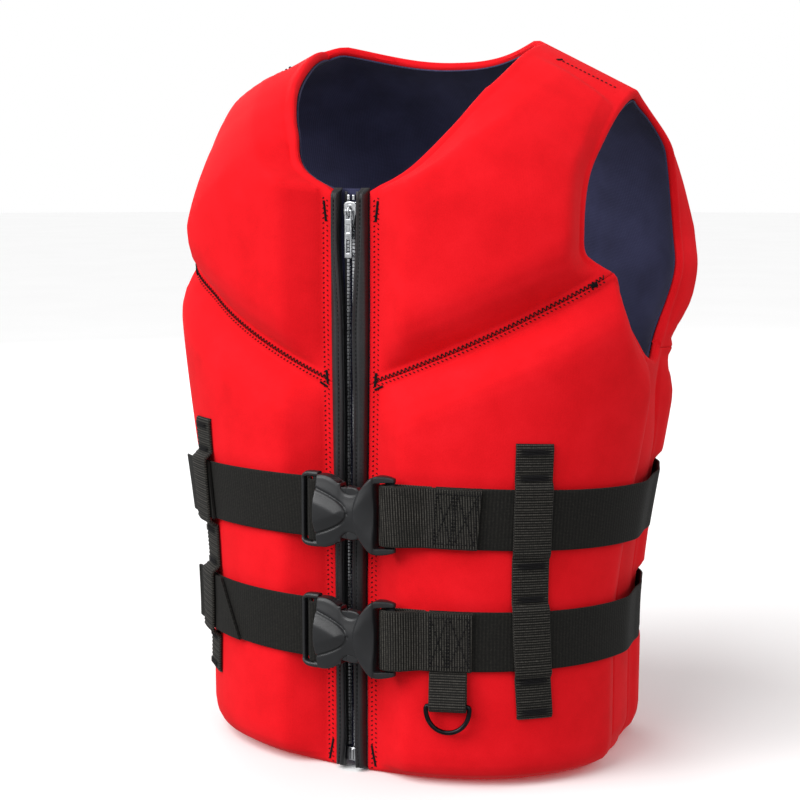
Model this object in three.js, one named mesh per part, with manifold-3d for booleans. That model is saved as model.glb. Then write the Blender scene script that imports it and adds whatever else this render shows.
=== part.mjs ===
// Neoprene buoyancy vest: a zipped, sleeveless foam jacket with two buckled webbing belts.
// Millimetres. +X is the wearer's left, -Y the front, +Z up. The vest stands on its hem at z = 0.
import * as THREE from 'three';
import { mergeVertices } from 'three/addons/utils/BufferGeometryUtils.js';
import Module from 'manifold-3d';

const wasm = await Module();
wasm.setup();

// ---------------------------------------------------------------- driving dimensions
// Torso form: the inner face of the lining. The front stands upright to the top of the zip,
// then curves over to the shoulder line.
const VEST_HEIGHT = 489;
const ZIP_HEIGHT = 396;
const SIDE_TURN_DROP = 60;
const SHOULDER_ARC = 170;
const SHOULDER_DROP = 35;
const NECK_POINT_X = 84.5;
const SHOULDER_TIP_X = 156.8;
const WAIST_HEIGHT = 85;
const CHEST_HEIGHT = 340;
const WAIST_HALF_WIDTH = 137;
const CHEST_HALF_WIDTH = 167;
const FRONT_DEPTH = 106.6;
const WAIST_BACK_DEPTH = 92.8;
const CHEST_BACK_DEPTH = 103;
const SECTION_POWER = 2 / 2.3;
const SHOULDER_POWER = 2 / 1.8;
// The torso's middle lies behind the finished vest's middle, because the buckles stand forward.
const CENTRE_SHIFT = new THREE.Vector3(0, 10.25, 0);

// Layers, measured outwards from the torso form.
const LINING = 1.2;
const LINING_INSET = 1;
const FOAM_BASE = 3;
const FOAM_THICKNESS = 18;
const LAYER_GAP = 0.8;
const SHELL_THICKNESS = 2.2;
const GUSSET_THICKNESS = 3;
const WEBBING_THICKNESS = 1.6;
const SEAM_GAP = 0.5;

// Outline, as angles round the torso in degrees: 0 front centre, 90 the wearer's left, 180 back.
const ZIP_EDGE = 3.4;
const BINDING_EDGE = 3.25;
const FRONT_SIDE_SEAM = 88;
const BACK_SIDE_SEAM = 104;
const UNDERARM = 96;
const NECK_ANGLE = 27.5;
const TIP_ANGLE = 67;
const CHEST_SEAM_HEIGHT = 262;
const CHEST_SEAM_SLOPE = 1.22;
const BACK_SEAM_HEIGHT = 286;
const BACK_NECK_HEIGHT = 515;
const BACK_NECK_RISE = 38;

// Webbing
const BELT_WIDTH = 41;
const UPPER_BELT_HEIGHT = 184.5;
const LOWER_BELT_HEIGHT = 101.5;
const SIDE_DIP = 9;
const KEEPER_TOP_ANGLE = 45;
const KEEPER_BOTTOM_ANGLE = 50.5;
const KEEPER_WIDTH = 25;
const KEEPER_LOW = 48;
const KEEPER_HIGH = 235;

// Zip
const TOOTH_GAP = 0.8;
const TOOTH_EDGE = 3;
const TAPE_EDGE = 5.3;
const ZIP_BOTTOM = 15;
const TEETH_TOP = 388;
const SLIDER_LENGTH = 16;
const PULL_LENGTH = 31;

// Buckles
const BUCKLE_BACK = FRONT_DEPTH + 27;
const BUCKLE_THICKNESS = 13;
const ARM_PIVOT_X = -6;

// D-ring
const RING_X = 69;
const RING_Z = 58;
const RING_INSIDE = 25.8;
const RING_DEPTH = 18;
const RING_WIRE = 1.6;

// ---------------------------------------------------------------- materials
const material = (color, roughness, metalness = 0) =>
  new THREE.MeshStandardMaterial({ color, roughness, metalness });
const RED_NEOPRENE = material(0xd8202c, 0.85);
const NAVY_LINING = material(0x1b1e38, 0.9);
const FOAM = material(0xe8e4d8, 0.95);
const BLACK_BINDING = material(0x141416, 0.7);
const BLACK_WEBBING = material(0x1b1a19, 0.85);
const BLACK_PLASTIC = material(0x26282b, 0.45);
const ZIP_METAL = material(0x9a9ea3, 0.35, 1);
const DARK_METAL = material(0x2c2e31, 0.4, 1);

// ---------------------------------------------------------------- small helpers
const radians = THREE.MathUtils.degToRad;
const mix = THREE.MathUtils.lerp;
const smoothstep = (low, high, x) => THREE.MathUtils.smoothstep(x, low, high);
const signedPower = (x, power) => Math.sign(x) * Math.abs(x) ** power;

/** A smooth function through [x, y] points, flat beyond its ends. */
function smoothTable(points) {
  const slopes = points.map((_, i) => {
    const [x0, y0] = points[Math.max(i - 1, 0)];
    const [x1, y1] = points[Math.min(i + 1, points.length - 1)];
    return (y1 - y0) / (x1 - x0);
  });
  return (x) => {
    if (x <= points[0][0]) return points[0][1];
    const i = points.findIndex((point) => point[0] > x) - 1;
    if (i < 0) return points.at(-1)[1];
    const [x0, y0] = points[i];
    const [x1, y1] = points[i + 1];
    const span = x1 - x0;
    const t = (x - x0) / span;
    const rise = y1 - y0;
    const bend = (1 - t) * (slopes[i] * span - rise) - t * (slopes[i + 1] * span - rise);
    return y0 + rise * t + t * (1 - t) * bend;
  };
}

// ---------------------------------------------------------------- torso form
const turnHeight = (angle) => ZIP_HEIGHT - SIDE_TURN_DROP * Math.sin(radians(angle)) ** 2;
const ridge = (angle) => turnHeight(angle) + SHOULDER_ARC;

function shoulderHeight(x) {
  const along = (Math.abs(x) - NECK_POINT_X) / (SHOULDER_TIP_X - NECK_POINT_X);
  return VEST_HEIGHT - SHOULDER_DROP * THREE.MathUtils.clamp(along, -0.1, 1.5);
}

/** A point of the torso form; v runs up the body in millimetres and on over the shoulder. */
function torsoPoint(angle, v) {
  const side = Math.sin(radians(angle));
  const front = Math.cos(radians(angle));
  const turn = turnHeight(angle);
  const phase = THREE.MathUtils.clamp((v - turn) / SHOULDER_ARC, 0, 1) * Math.PI / 2;
  const over = Math.sin(phase) ** SHOULDER_POWER;
  const upright = Math.min(v, turn);
  const widening = smoothstep(WAIST_HEIGHT, CHEST_HEIGHT, upright + (VEST_HEIGHT - turn) * over);
  const x = mix(WAIST_HALF_WIDTH, CHEST_HALF_WIDTH, widening) * signedPower(side, SECTION_POWER);
  const z = upright + (shoulderHeight(x) - turn) * over;
  const deepening = smoothstep(WAIST_HEIGHT, CHEST_HEIGHT, z);
  const depth = front > 0 ? FRONT_DEPTH : mix(WAIST_BACK_DEPTH, CHEST_BACK_DEPTH, deepening);
  const y = -depth * signedPower(front, SECTION_POWER) * Math.cos(phase) ** SHOULDER_POWER;
  return new THREE.Vector3(x, y, z);
}

function torsoNormal(angle, v) {
  const across = torsoPoint(angle + 0.06, v).sub(torsoPoint(angle - 0.06, v));
  const up = torsoPoint(angle, v + 0.3).sub(torsoPoint(angle, v - 0.3));
  return across.cross(up).normalize();
}

const layerPoint = (angle, v, height) =>
  torsoPoint(angle, v).addScaledVector(torsoNormal(angle, v), height);

/** The angle at which the torso form at height v reaches the given x on the front. */
function angleAt(x, v) {
  const share = Math.abs(x) / Math.abs(torsoPoint(90, v).x);
  return Math.sign(x) * THREE.MathUtils.radToDeg(Math.asin(share ** (1 / SECTION_POWER)));
}

// ---------------------------------------------------------------- outlines
const chestSeam = (angle) => CHEST_SEAM_HEIGHT + CHEST_SEAM_SLOPE * angle;
const neckEdge = smoothTable([[396, ZIP_EDGE], [403, 7], [414, 11.5], [430, 16], [452, 21],
  [486, 26], [520, 27.4], [553, NECK_ANGLE]]);
const frontArmEdge = smoothTable([[279, UNDERARM], [283, 90], [293, 84], [315, 73.5],
  [341, 67], [346, 63], [354, 58.5], [372, 57.3], [411, 57.3], [441, 60.5], [484, 65],
  [515, TIP_ANGLE]]);
const backArmEdge = smoothTable([[279, UNDERARM], [285, 102], [296, 105], [330, 113],
  [370, 119], [420, 120], [470, 118], [515, 180 - TIP_ANGLE]]);
const underarm = smoothTable([[67, 342], [73.5, 315], [84, 292], [90, 283], [96, 279],
  [102, 284], [106, 298]]);
const frontStart = (v) => (v < ZIP_HEIGHT ? ZIP_EDGE : neckEdge(v));

function backTop(angle) {
  const across = Math.abs(angle - 180) / NECK_ANGLE;
  return across < 1 ? BACK_NECK_HEIGHT + BACK_NECK_RISE * across ** 2 : ridge(angle);
}

// Each edge of a panel lists how far in each grid line lies and how much foam is under it.
const ZIP_BEVEL = [[0, 0], [8, 0], [9.5, 0.25], [18, 0.72], [32, 1]];
const SEAM_BEVEL = [[0, 0], [7, 0], [8.5, 0.25], [18, 0.72], [32, 1]];
const ARM_BEVEL = [[0, 0], [5, 0], [8, 0.35], [17, 1]];
const SHOULDER_BEVEL = [[0, 0], [20, 0], [22, 0.1], [46, 0.2], [72, 0.38], [98, 0.7], [126, 1]];
const SIDE_BEVEL = [[0, 0], [4, 0], [5.5, 0.3], [14, 0.8], [26, 1]];
const HEM_BEVEL = [[0, 0], [2, 0], [3.5, 0.4], [9, 0.8], [20, 1]];

const PANELS = {
  front_lower: {
    low: () => 0,
    high: (angle) => Math.min(chestSeam(angle), underarm(angle)) - SEAM_GAP / 2,
    start: () => ZIP_EDGE,
    end: () => FRONT_SIDE_SEAM,
    bevels: { low: HEM_BEVEL, high: SEAM_BEVEL, start: ZIP_BEVEL, end: SIDE_BEVEL },
    steps: [6, 5],
  },
  front_upper: {
    low: (angle) => chestSeam(angle) + SEAM_GAP / 2,
    high: (angle) => ridge(angle) - SEAM_GAP,
    start: frontStart,
    end: frontArmEdge,
    bevels: { low: SEAM_BEVEL, high: SHOULDER_BEVEL, start: ZIP_BEVEL, end: ARM_BEVEL },
    steps: [3, 3],
  },
  back_lower: {
    low: () => 0,
    high: () => BACK_SEAM_HEIGHT - SEAM_GAP / 2,
    start: () => BACK_SIDE_SEAM,
    end: () => 360 - BACK_SIDE_SEAM,
    bevels: { low: HEM_BEVEL, high: SEAM_BEVEL, start: SIDE_BEVEL, end: SIDE_BEVEL },
    steps: [9, 5],
  },
  back_upper: {
    low: () => BACK_SEAM_HEIGHT + SEAM_GAP / 2,
    high: (angle) => backTop(angle) - SEAM_GAP,
    start: (v) => Math.max(backArmEdge(v), BACK_SIDE_SEAM),
    end: (v) => 360 - Math.max(backArmEdge(v), BACK_SIDE_SEAM),
    bevels: { low: SEAM_BEVEL, high: SHOULDER_BEVEL, start: ARM_BEVEL, end: ARM_BEVEL },
    steps: [9, 3],
  },
};

// ---------------------------------------------------------------- panel grids
/** Angle and height of the point a share s across and a share r up a panel. */
function panelPoint(panel, s, r) {
  const heightAt = (angle) => mix(panel.low(angle), panel.high(angle), r);
  const edgeAngle = (edge) => {
    let angle = edge(mix(panel.low(45), panel.high(45), r));
    for (let pass = 0; pass < 12; pass += 1) {
      angle = mix(angle, edge(heightAt(angle)), 0.6);
    }
    return angle;
  };
  const angle = mix(edgeAngle(panel.start), edgeAngle(panel.end), s);
  return { angle, v: heightAt(angle) };
}

function surfaceLength(panel, pointAt) {
  const points = [];
  for (let i = 0; i <= 12; i += 1) {
    const { angle, v } = pointAt(i / 12);
    points.push(torsoPoint(angle, v));
  }
  return points.slice(1).reduce((sum, point, i) => sum + point.distanceTo(points[i]), 0);
}

/** Grid lines along one direction: the bevel lines at both ends and even steps between them. */
function gridLines(length, startBevel, endBevel, steps) {
  const first = startBevel.map(([inset, foam]) => ({ share: inset / length, foam }));
  const last = endBevel.map(([inset, foam]) => ({ share: 1 - inset / length, foam })).reverse();
  const middle = [];
  for (let i = 1; i < steps; i += 1) {
    middle.push({ share: mix(first.at(-1).share, last[0].share, i / steps), foam: 1 });
  }
  return [...first, ...middle, ...last];
}

/** Rows of grid points, each with its angle, height and share of the foam's thickness. */
function panelGrid({ bevels, steps, ...panel }) {
  const columnsFor = (r) => gridLines(surfaceLength(panel, (s) => panelPoint(panel, s, r)),
    bevels.start, bevels.end, steps[0]);
  const rowsFor = (s) => gridLines(surfaceLength(panel, (r) => panelPoint(panel, s, r)),
    bevels.low, bevels.high, steps[1]);
  const columnCount = columnsFor(0.5).length;
  const rowCount = rowsFor(0.5).length;
  const grid = [];
  for (let j = 0; j < rowCount; j += 1) {
    const row = [];
    for (let i = 0; i < columnCount; i += 1) {
      const column = columnsFor(rowsFor(0.5)[j].share)[i];
      const line = rowsFor(column.share)[j];
      row.push({ ...panelPoint(panel, column.share, line.share), foam: column.foam * line.foam });
    }
    grid.push(row);
  }
  return grid;
}

/** The even grid of a thin sheet that has no foam. */
function plainGrid(panel, columns, rows) {
  const even = (count) => Array.from({ length: count + 1 }, (_, i) => i / count);
  return even(rows).map((r) => even(columns).map((s) => ({ ...panelPoint(panel, s, r), foam: 0 })));
}

// ---------------------------------------------------------------- mesh builders
function orient(geometry) {
  const position = geometry.attributes.position;
  const index = geometry.index.array;
  const corner = [0, 1, 2].map(() => new THREE.Vector3());
  let volume = 0;
  for (let i = 0; i < index.length; i += 3) {
    corner.forEach((point, k) => point.fromBufferAttribute(position, index[i + k]));
    volume += corner[0].dot(corner[1].clone().cross(corner[2]));
  }
  if (volume < 0) {
    for (let i = 0; i < index.length; i += 3) {
      [index[i], index[i + 1]] = [index[i + 1], index[i]];
    }
  }
  geometry.computeVertexNormals();
  return geometry;
}

function indexedGeometry(points, faces) {
  const geometry = new THREE.BufferGeometry();
  geometry.setAttribute('position',
    new THREE.Float32BufferAttribute(points.flatMap((point) => point.toArray()), 3));
  geometry.setIndex(faces.flat());
  return orient(geometry);
}

/** A closed sheet between two layers of one grid; layers(cell) gives its two points. */
function sheet(grid, layers) {
  const width = grid[0].length;
  const count = grid.length * width;
  const pairs = grid.flat().map(layers);
  const points = [...pairs.map((pair) => pair[0]), ...pairs.map((pair) => pair[1])];
  const faces = [];
  const quad = (a, b, c, d) => faces.push([a, b, c], [a, c, d]);
  for (let j = 0; j + 1 < grid.length; j += 1) {
    for (let i = 0; i + 1 < width; i += 1) {
      const a = j * width + i;
      quad(a, a + width, a + width + 1, a + 1);
      quad(a + count, a + count + 1, a + count + width + 1, a + count + width);
    }
  }
  const rim = [];
  for (let i = 0; i + 1 < width; i += 1) rim.push(i);
  for (let j = 0; j + 1 < grid.length; j += 1) rim.push(j * width + width - 1);
  for (let i = width - 1; i > 0; i -= 1) rim.push((grid.length - 1) * width + i);
  for (let j = grid.length - 1; j > 0; j -= 1) rim.push(j * width);
  rim.forEach((a, k) => {
    const b = rim[(k + 1) % rim.length];
    quad(a, b, b + count, a + count);
  });
  return indexedGeometry(points, faces);
}

const layeredSheet = (grid, low, high) => sheet(grid, (cell) => [
  layerPoint(cell.angle, cell.v, low(cell)),
  layerPoint(cell.angle, cell.v, high(cell)),
]);

/** A solid through a row of matching loops; a closed one joins its last loop to its first. */
function loft(loops, closed = false) {
  const sides = loops[0].length;
  const faces = [];
  const spans = closed ? loops.length : loops.length - 1;
  for (let j = 0; j < spans; j += 1) {
    const next = (j + 1) % loops.length;
    for (let i = 0; i < sides; i += 1) {
      const k = (i + 1) % sides;
      faces.push([j * sides + i, j * sides + k, next * sides + k]);
      faces.push([j * sides + i, next * sides + k, next * sides + i]);
    }
  }
  if (!closed) {
    const outline = loops[0].map((point) => new THREE.Vector2(point.x, point.y));
    const offset = (loops.length - 1) * sides;
    const lid = THREE.ShapeUtils.triangulateShape(outline, []);
    const turned = THREE.ShapeUtils.isClockWise(outline);
    lid.forEach(([a, b, c]) => {
      faces.push(turned ? [a, b, c] : [c, b, a]);
      faces.push(turned ? [c + offset, b + offset, a + offset] : [a + offset, b + offset, c + offset]);
    });
  }
  return indexedGeometry(loops.flat(), faces);
}

const outlineShape = (points) => new THREE.Shape(points.map(([x, y]) => new THREE.Vector2(x, y)));

/** A shape drawn in x and y, raised from one height to another. */
function upright(shape, low, high, curveSegments = 6) {
  const geometry = new THREE.ExtrudeGeometry(shape,
    { depth: high - low, bevelEnabled: false, curveSegments });
  return geometry.translate(0, 0, low);
}

/** A shape drawn in x and z as seen from the front, from a back plane forward. */
function facing(shape, back, thickness, curveSegments = 6) {
  const geometry = new THREE.ExtrudeGeometry(shape,
    { depth: thickness, bevelEnabled: false, curveSegments });
  return geometry.rotateX(Math.PI / 2).translate(0, -back, 0);
}

/** A box from its x, y and z limits. */
function block([x0, x1], [y0, y1], [z0, z1]) {
  return new THREE.BoxGeometry(x1 - x0, y1 - y0, z1 - z0)
    .translate((x0 + x1) / 2, (y0 + y1) / 2, (z0 + z1) / 2);
}

// ---------------------------------------------------------------- cutting and joining
function solid(geometry) {
  const bare = geometry.clone();
  bare.deleteAttribute('normal');
  bare.deleteAttribute('uv');
  const merged = mergeVertices(bare, 1e-4);
  return new wasm.Manifold(new wasm.Mesh({
    numProp: 3,
    vertProperties: new Float32Array(merged.attributes.position.array),
    triVerts: new Uint32Array(merged.index.array),
  }));
}

function surfaceOf(manifold) {
  const mesh = manifold.getMesh();
  const geometry = new THREE.BufferGeometry();
  geometry.setAttribute('position', new THREE.BufferAttribute(mesh.vertProperties, 3));
  geometry.setIndex(new THREE.BufferAttribute(mesh.triVerts, 1));
  geometry.computeVertexNormals();
  return geometry;
}

const join = (...pieces) => surfaceOf(pieces.map(solid).reduce((sum, piece) => sum.add(piece)));
const cut = (body, ...tools) =>
  surfaceOf(tools.map(solid).reduce((rest, tool) => rest.subtract(tool), solid(body)));

// ---------------------------------------------------------------- the assembly
const group = new THREE.Group();
const vest = new THREE.Group();
vest.position.copy(CENTRE_SHIFT);
group.add(vest);

function add(name, geometry, finish, parent = vest) {
  const mesh = new THREE.Mesh(geometry, finish);
  mesh.name = name;
  parent.add(mesh);
  return mesh;
}

/** The same piece for the wearer's left and, mirrored in x, for the right. */
function addPair(name, geometry, finish) {
  add(`left_${name}`, geometry, finish);
  const mirrored = geometry.clone().scale(-1, 1, 1);
  if (!mirrored.index) {
    const merged = mergeVertices(mirrored);
    mirrored.copy(merged);
  }
  add(`right_${name}`, orient(mirrored), finish);
}

// ---------------------------------------------------------------- shells, foam and lining
const shellLow = (cell) => FOAM_BASE + LAYER_GAP + FOAM_THICKNESS * cell.foam;
const shellHigh = (cell) => shellLow(cell) + SHELL_THICKNESS;
const SHELL_TOP = FOAM_BASE + LAYER_GAP + FOAM_THICKNESS + SHELL_THICKNESS;

function addPanels() {
  for (const [name, panel] of Object.entries(PANELS)) {
    const grid = panelGrid(panel);
    const padded = grid
      .map((row) => row.filter((cell, i) => i > 1 && i < row.length - 2))
      .slice(2, -2);
    const shell = layeredSheet(grid, shellLow, shellHigh);
    const insert = layeredSheet(padded, () => FOAM_BASE,
      (cell) => FOAM_BASE + FOAM_THICKNESS * cell.foam);
    const place = name.startsWith('front') ? addPair : add;
    place(`${name}_shell`, shell, RED_NEOPRENE);
    place(`${name}_foam`, insert, FOAM);
  }
}

function addGussets() {
  const gusset = {
    low: () => 0,
    high: (angle) => underarm(angle) - SEAM_GAP / 2,
    start: () => FRONT_SIDE_SEAM + 0.2,
    end: () => BACK_SIDE_SEAM - 0.2,
  };
  addPair('side_gusset', layeredSheet(plainGrid(gusset, 4, 6),
    () => FOAM_BASE + LAYER_GAP, () => FOAM_BASE + LAYER_GAP + GUSSET_THICKNESS), RED_NEOPRENE);
}

function addLinings() {
  const front = {
    low: () => 1,
    high: (angle) => ridge(angle) - SEAM_GAP,
    start: frontStart,
    end: (v) => Math.min(frontArmEdge(v), UNDERARM - 0.2),
  };
  const back = {
    low: () => 1,
    high: (angle) => backTop(angle) - SEAM_GAP,
    start: (v) => Math.max(backArmEdge(v), UNDERARM + 0.2),
    end: (v) => 360 - Math.max(backArmEdge(v), UNDERARM + 0.2),
  };
  const lining = (panel, columns, rows) =>
    layeredSheet(plainGrid(panel, columns, rows), () => -LINING_INSET - LINING, () => -LINING_INSET);
  addPair('front_lining', lining(front, 8, 20), NAVY_LINING);
  add('back_lining', lining(back, 14, 22), NAVY_LINING);
}

// ---------------------------------------------------------------- zip
const front = (height) => -(FRONT_DEPTH + height);

/** Half the gap between the two bindings: wide where the slider rests, narrow below it. */
const bindingGap = (z) => 3.1 + 3.4 * smoothstep(300, 372, z) + 1.2 * (1 - smoothstep(0, 24, z));

function addBindings() {
  const loops = [];
  for (const z of [1.5, 12, 24, 90, 180, 260, 300, 322, 348, 372, 397]) {
    const inner = bindingGap(z);
    const foot = Math.max(5.6, inner + 0.8);
    const outer = torsoPoint(BINDING_EDGE, z).x;
    const section = [[outer, 2.2], [outer, 8.5], [outer - 2.5, 11.3], [inner + 2.2, 12],
      [inner, 10.6], [inner, 8.4], [foot, 7.4], [foot, 2.2]];
    loops.push(section.map(([x, height]) => new THREE.Vector3(x, front(height), z)));
  }
  addPair('zip_binding', loft(loops), BLACK_BINDING);
}

function addZipChain() {
  const slab = (x, heights, z) => block(x, [front(heights[1]), front(heights[0])], z);
  addPair('zip_teeth', slab([TOOTH_GAP, TOOTH_EDGE], [3, 5.4], [ZIP_BOTTOM, TEETH_TOP]), ZIP_METAL);
  addPair('zip_tape', slab([TOOTH_EDGE + 0.3, TAPE_EDGE], [3.6, 4.4], [ZIP_BOTTOM, 394]),
    BLACK_BINDING);
  addPair('zip_top_stop', slab([TOOTH_GAP, TOOTH_EDGE], [2.8, 5.6], [TEETH_TOP + 0.4, 392]),
    ZIP_METAL);
  add('zip_bottom_box', slab([-4.6, 4.6], [2.4, 6], [5, ZIP_BOTTOM - 0.5]), ZIP_METAL);
  add('zip_flap', slab([-11, 11], [0.2, 1.2], [3, 399]), NAVY_LINING);
}

const SLIDER_TOP = TEETH_TOP - 0.6;
const SLIDER_MIDDLE = SLIDER_TOP - SLIDER_LENGTH / 2;
const PULL_AXIS_HEIGHT = 8.7;
const PULL_AXIS_Z = SLIDER_MIDDLE + 2;

/** The slider holds both rows of teeth between two flanged plates joined by a thin post. */
function addSlider() {
  const half = [[0.5, 2.6], [3.5, 2.6], [3.5, 3.2], [4.8, 3.2], [4.8, 1.6]];
  const upper = [[4.8, 7], [4.8, 4.8], [3.5, 4.8], [3.5, 5.8], [0.5, 5.8]];
  const rightSide = [...half.slice().reverse(), ...upper.slice().reverse()];
  const leftSide = rightSide.map(([x, height]) => [-x, height]).reverse();
  const section = [...rightSide, ...leftSide].map(([x, height]) => [x, front(height)]);
  const plates = upright(outlineShape(section), SLIDER_TOP - SLIDER_LENGTH, SLIDER_TOP);
  const crown = block([-1, 1], [front(10.3), front(6.8)], [PULL_AXIS_Z - 4, PULL_AXIS_Z + 4]);
  const eye = block([-2, 2], [front(9.6), front(7.8)], [PULL_AXIS_Z - 2.4, PULL_AXIS_Z + 1.4]);
  add('zip_slider', join(plates, cut(crown, eye)), ZIP_METAL);
}

/** The pull hangs from a cross bar that passes through the slider's crown. */
function addPull() {
  const tab = block([-2.6, 2.6], [-0.6, 0.6], [-PULL_LENGTH, -5.6]);
  const window = block([-1.3, 1.3], [-1, 1], [-PULL_LENGTH + 3, -PULL_LENGTH + 15]);
  const rails = [-1, 1].map((side) =>
    block([side * 2 - 0.6, side * 2 + 0.6], [-0.6, 0.6], [-6, 0.6]));
  const bar = block([-2.6, 2.6], [-0.6, 0.6], [-0.6, 0.6]);
  const pull = add('zip_pull', join(cut(tab, window), ...rails, bar), ZIP_METAL);
  pull.position.set(0, front(PULL_AXIS_HEIGHT), PULL_AXIS_Z);
}

// ---------------------------------------------------------------- belts and keepers
const BELT_LOW = SHELL_TOP + 1.3;
const LAYER_RISE = WEBBING_THICKNESS + 0.9;

/** Belts lie on the foam and dip where it ends at the sides. */
function beltHeight(angle) {
  const fromSide = Math.abs(Math.abs(angle > 180 ? angle - 360 : angle) - UNDERARM);
  return BELT_LOW - SIDE_DIP * (1 - smoothstep(2, 14, fromSide));
}

/**
 * Webbing along a route. A stop is an angle round the torso and a number of layers above the
 * foam or, near a buckle, a free point: its x and how far it stands before the buckle's back.
 */
function strapAlong(route, middle) {
  const heightOf = ({ angle, layer = 0 }) => beltHeight(angle) + layer * LAYER_RISE;
  const plan = route.map((stop) => {
    if (stop.angle === undefined) return new THREE.Vector2(stop.x, -BUCKLE_BACK - stop.before);
    const point = layerPoint(stop.angle, middle, heightOf(stop) + WEBBING_THICKNESS / 2);
    return new THREE.Vector2(point.x, point.y);
  });
  const cells = plan.map((point, i) => {
    const last = plan[Math.max(i - 1, 0)];
    const along = plan[Math.min(i + 1, plan.length - 1)].clone().sub(last).normalize();
    return { stop: route[i], point, side: new THREE.Vector2(along.y, -along.x) };
  });
  const grid = [-1, 0, 1].map((edge) =>
    cells.map((cell) => ({ ...cell, v: middle + edge * BELT_WIDTH / 2 })));
  return sheet(grid, ({ stop, point, side, v }) => {
    if (stop.angle === undefined) {
      return [-1, 1].map((face) => new THREE.Vector3(point.x + face * side.x * WEBBING_THICKNESS / 2,
        point.y + face * side.y * WEBBING_THICKNESS / 2, v));
    }
    const faces = [heightOf(stop), heightOf(stop) + WEBBING_THICKNESS]
      .map((height) => layerPoint(stop.angle, v, height));
    const normal = torsoNormal(stop.angle, v);
    return side.x * normal.x + side.y * normal.y > 0 ? faces : faces.reverse();
  });
}

const wrapRoute = (from, to, steps, layer = 0) =>
  Array.from({ length: steps + 1 }, (_, i) => ({ angle: mix(from, to, i / steps), layer }));
const freeRoute = (points) => points.map(([x, before]) => ({ x, before }));

const BELT_START = 22;
const STRAP_END = -48;

function addBelt(level, middle) {
  const body = wrapRoute(BELT_START, 360 + STRAP_END - 0.5, 60);
  add(`${level}_belt`, strapAlong(body, middle), BLACK_WEBBING);

  // From the keeper under the plug's first bar, then up through its slot and over the second.
  const strap = [...wrapRoute(STRAP_END, -12, 9), ...freeRoute([[-20.4, -1.3], [-18.4, 0.2],
    [-17.3, 3], [-16.9, 6], [-15.2, 8], [-10.4, 8]])];
  add(`${level}_adjust_strap`, strapAlong(strap, middle), BLACK_WEBBING);

  // Folded round the socket's bar, its outer leg sewn over the start of the belt.
  const loop = [...wrapRoute(21, 16, 2), ...freeRoute([[40, -1.3], [36.6, 1.2], [36.4, 4.6],
    [38.8, 6.4], [48, 5.4]]), ...wrapRoute(20, 33, 4, 1)];
  add(`${level}_buckle_loop`, strapAlong(loop, middle), BLACK_WEBBING);
}

function addTails() {
  add('upper_strap_tail', strapAlong(wrapRoute(-41, -61, 6, 1), UPPER_BELT_HEIGHT), BLACK_WEBBING);
  add('lower_strap_tail', strapAlong(wrapRoute(-30, -61, 9, 1), LOWER_BELT_HEIGHT), BLACK_WEBBING);
}

/** A vertical strip that is sewn to the shell and bridges both belts. */
function keeper(angleFor, layersUnder) {
  const lift = (v) => [UPPER_BELT_HEIGHT, LOWER_BELT_HEIGHT].reduce((rise, middle) => {
    const beyond = Math.abs(v - middle) - BELT_WIDTH / 2;
    return rise + LAYER_RISE * layersUnder * (1 - smoothstep(1.5, 7, beyond));
  }, 0);
  const rows = [KEEPER_LOW];
  for (const middle of [LOWER_BELT_HEIGHT, UPPER_BELT_HEIGHT]) {
    const reach = BELT_WIDTH / 2;
    rows.push(middle - reach - 7, middle - reach - 1.5, middle, middle + reach + 1.5,
      middle + reach + 7);
  }
  rows.push(KEEPER_HIGH);
  const grid = rows.map((v) => [-1, 0, 1].map((side) => ({ angle: angleFor(side, v), v })));
  const low = (cell) => beltHeight(cell.angle) + lift(cell.v);
  return layeredSheet(grid, low, (cell) => low(cell) + WEBBING_THICKNESS);
}

/** The angle of a keeper's edge, half its width from the line that its middle follows. */
function keeperEdge(side, v) {
  const share = (v - KEEPER_LOW) / (KEEPER_HIGH - KEEPER_LOW);
  const middle = mix(KEEPER_BOTTOM_ANGLE, KEEPER_TOP_ANGLE, share);
  const perDegree = layerPoint(middle + 0.5, v, BELT_LOW)
    .distanceTo(layerPoint(middle - 0.5, v, BELT_LOW));
  return middle + side * KEEPER_WIDTH / 2 / perDegree;
}

function addKeepers() {
  add('left_front_keeper', keeper(keeperEdge, 1), BLACK_WEBBING);
  add('right_front_keeper', keeper((side, v) => -keeperEdge(side, v), 2), BLACK_WEBBING);
  add('left_back_keeper', keeper((side, v) => 180 - keeperEdge(side, v), 1), BLACK_WEBBING);
  add('right_back_keeper', keeper((side, v) => 180 + keeperEdge(side, v), 1), BLACK_WEBBING);
}

// ---------------------------------------------------------------- buckles
const mirrored = (half) => [...half, ...half.slice().reverse().map(([x, z]) => [x, -z])];

/** The socket: a waisted body with a side bay at each latch and a webbing bar at its end. */
function socketGeometry() {
  const half = [[-9, 21], [4, 23], [9, 20], [13, 14.5], [19, 13.5], [24, 17], [31, 25.2],
    [37, 26], [46.5, 25.5]];
  const body = facing(outlineShape(mirrored(half)), BUCKLE_BACK, BUCKLE_THICKNESS);
  const middle = [BUCKLE_BACK + 2.4, BUCKLE_BACK + 10.2].map((y) => -y).reverse();
  const cavity = block([-10, 25], middle, [-19.4, 19.4]);
  const slot = block([34, 38.6], [-BUCKLE_BACK - 20, 0], [-21.5, 21.5]);
  const relief = block([31.5, 60], [-BUCKLE_BACK - 20, -BUCKLE_BACK - 4], [-30, 30]);
  const ease = block([38, 60], [-BUCKLE_BACK - 0.9, -BUCKLE_BACK + 1], [-21.5, 21.5]);
  const tipCut = block([38, 60], [-BUCKLE_BACK - 20, -BUCKLE_BACK - 3.2], [-21.5, 21.5]);
  return cut(body, cavity, slot, relief, ease, tipCut);
}

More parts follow.
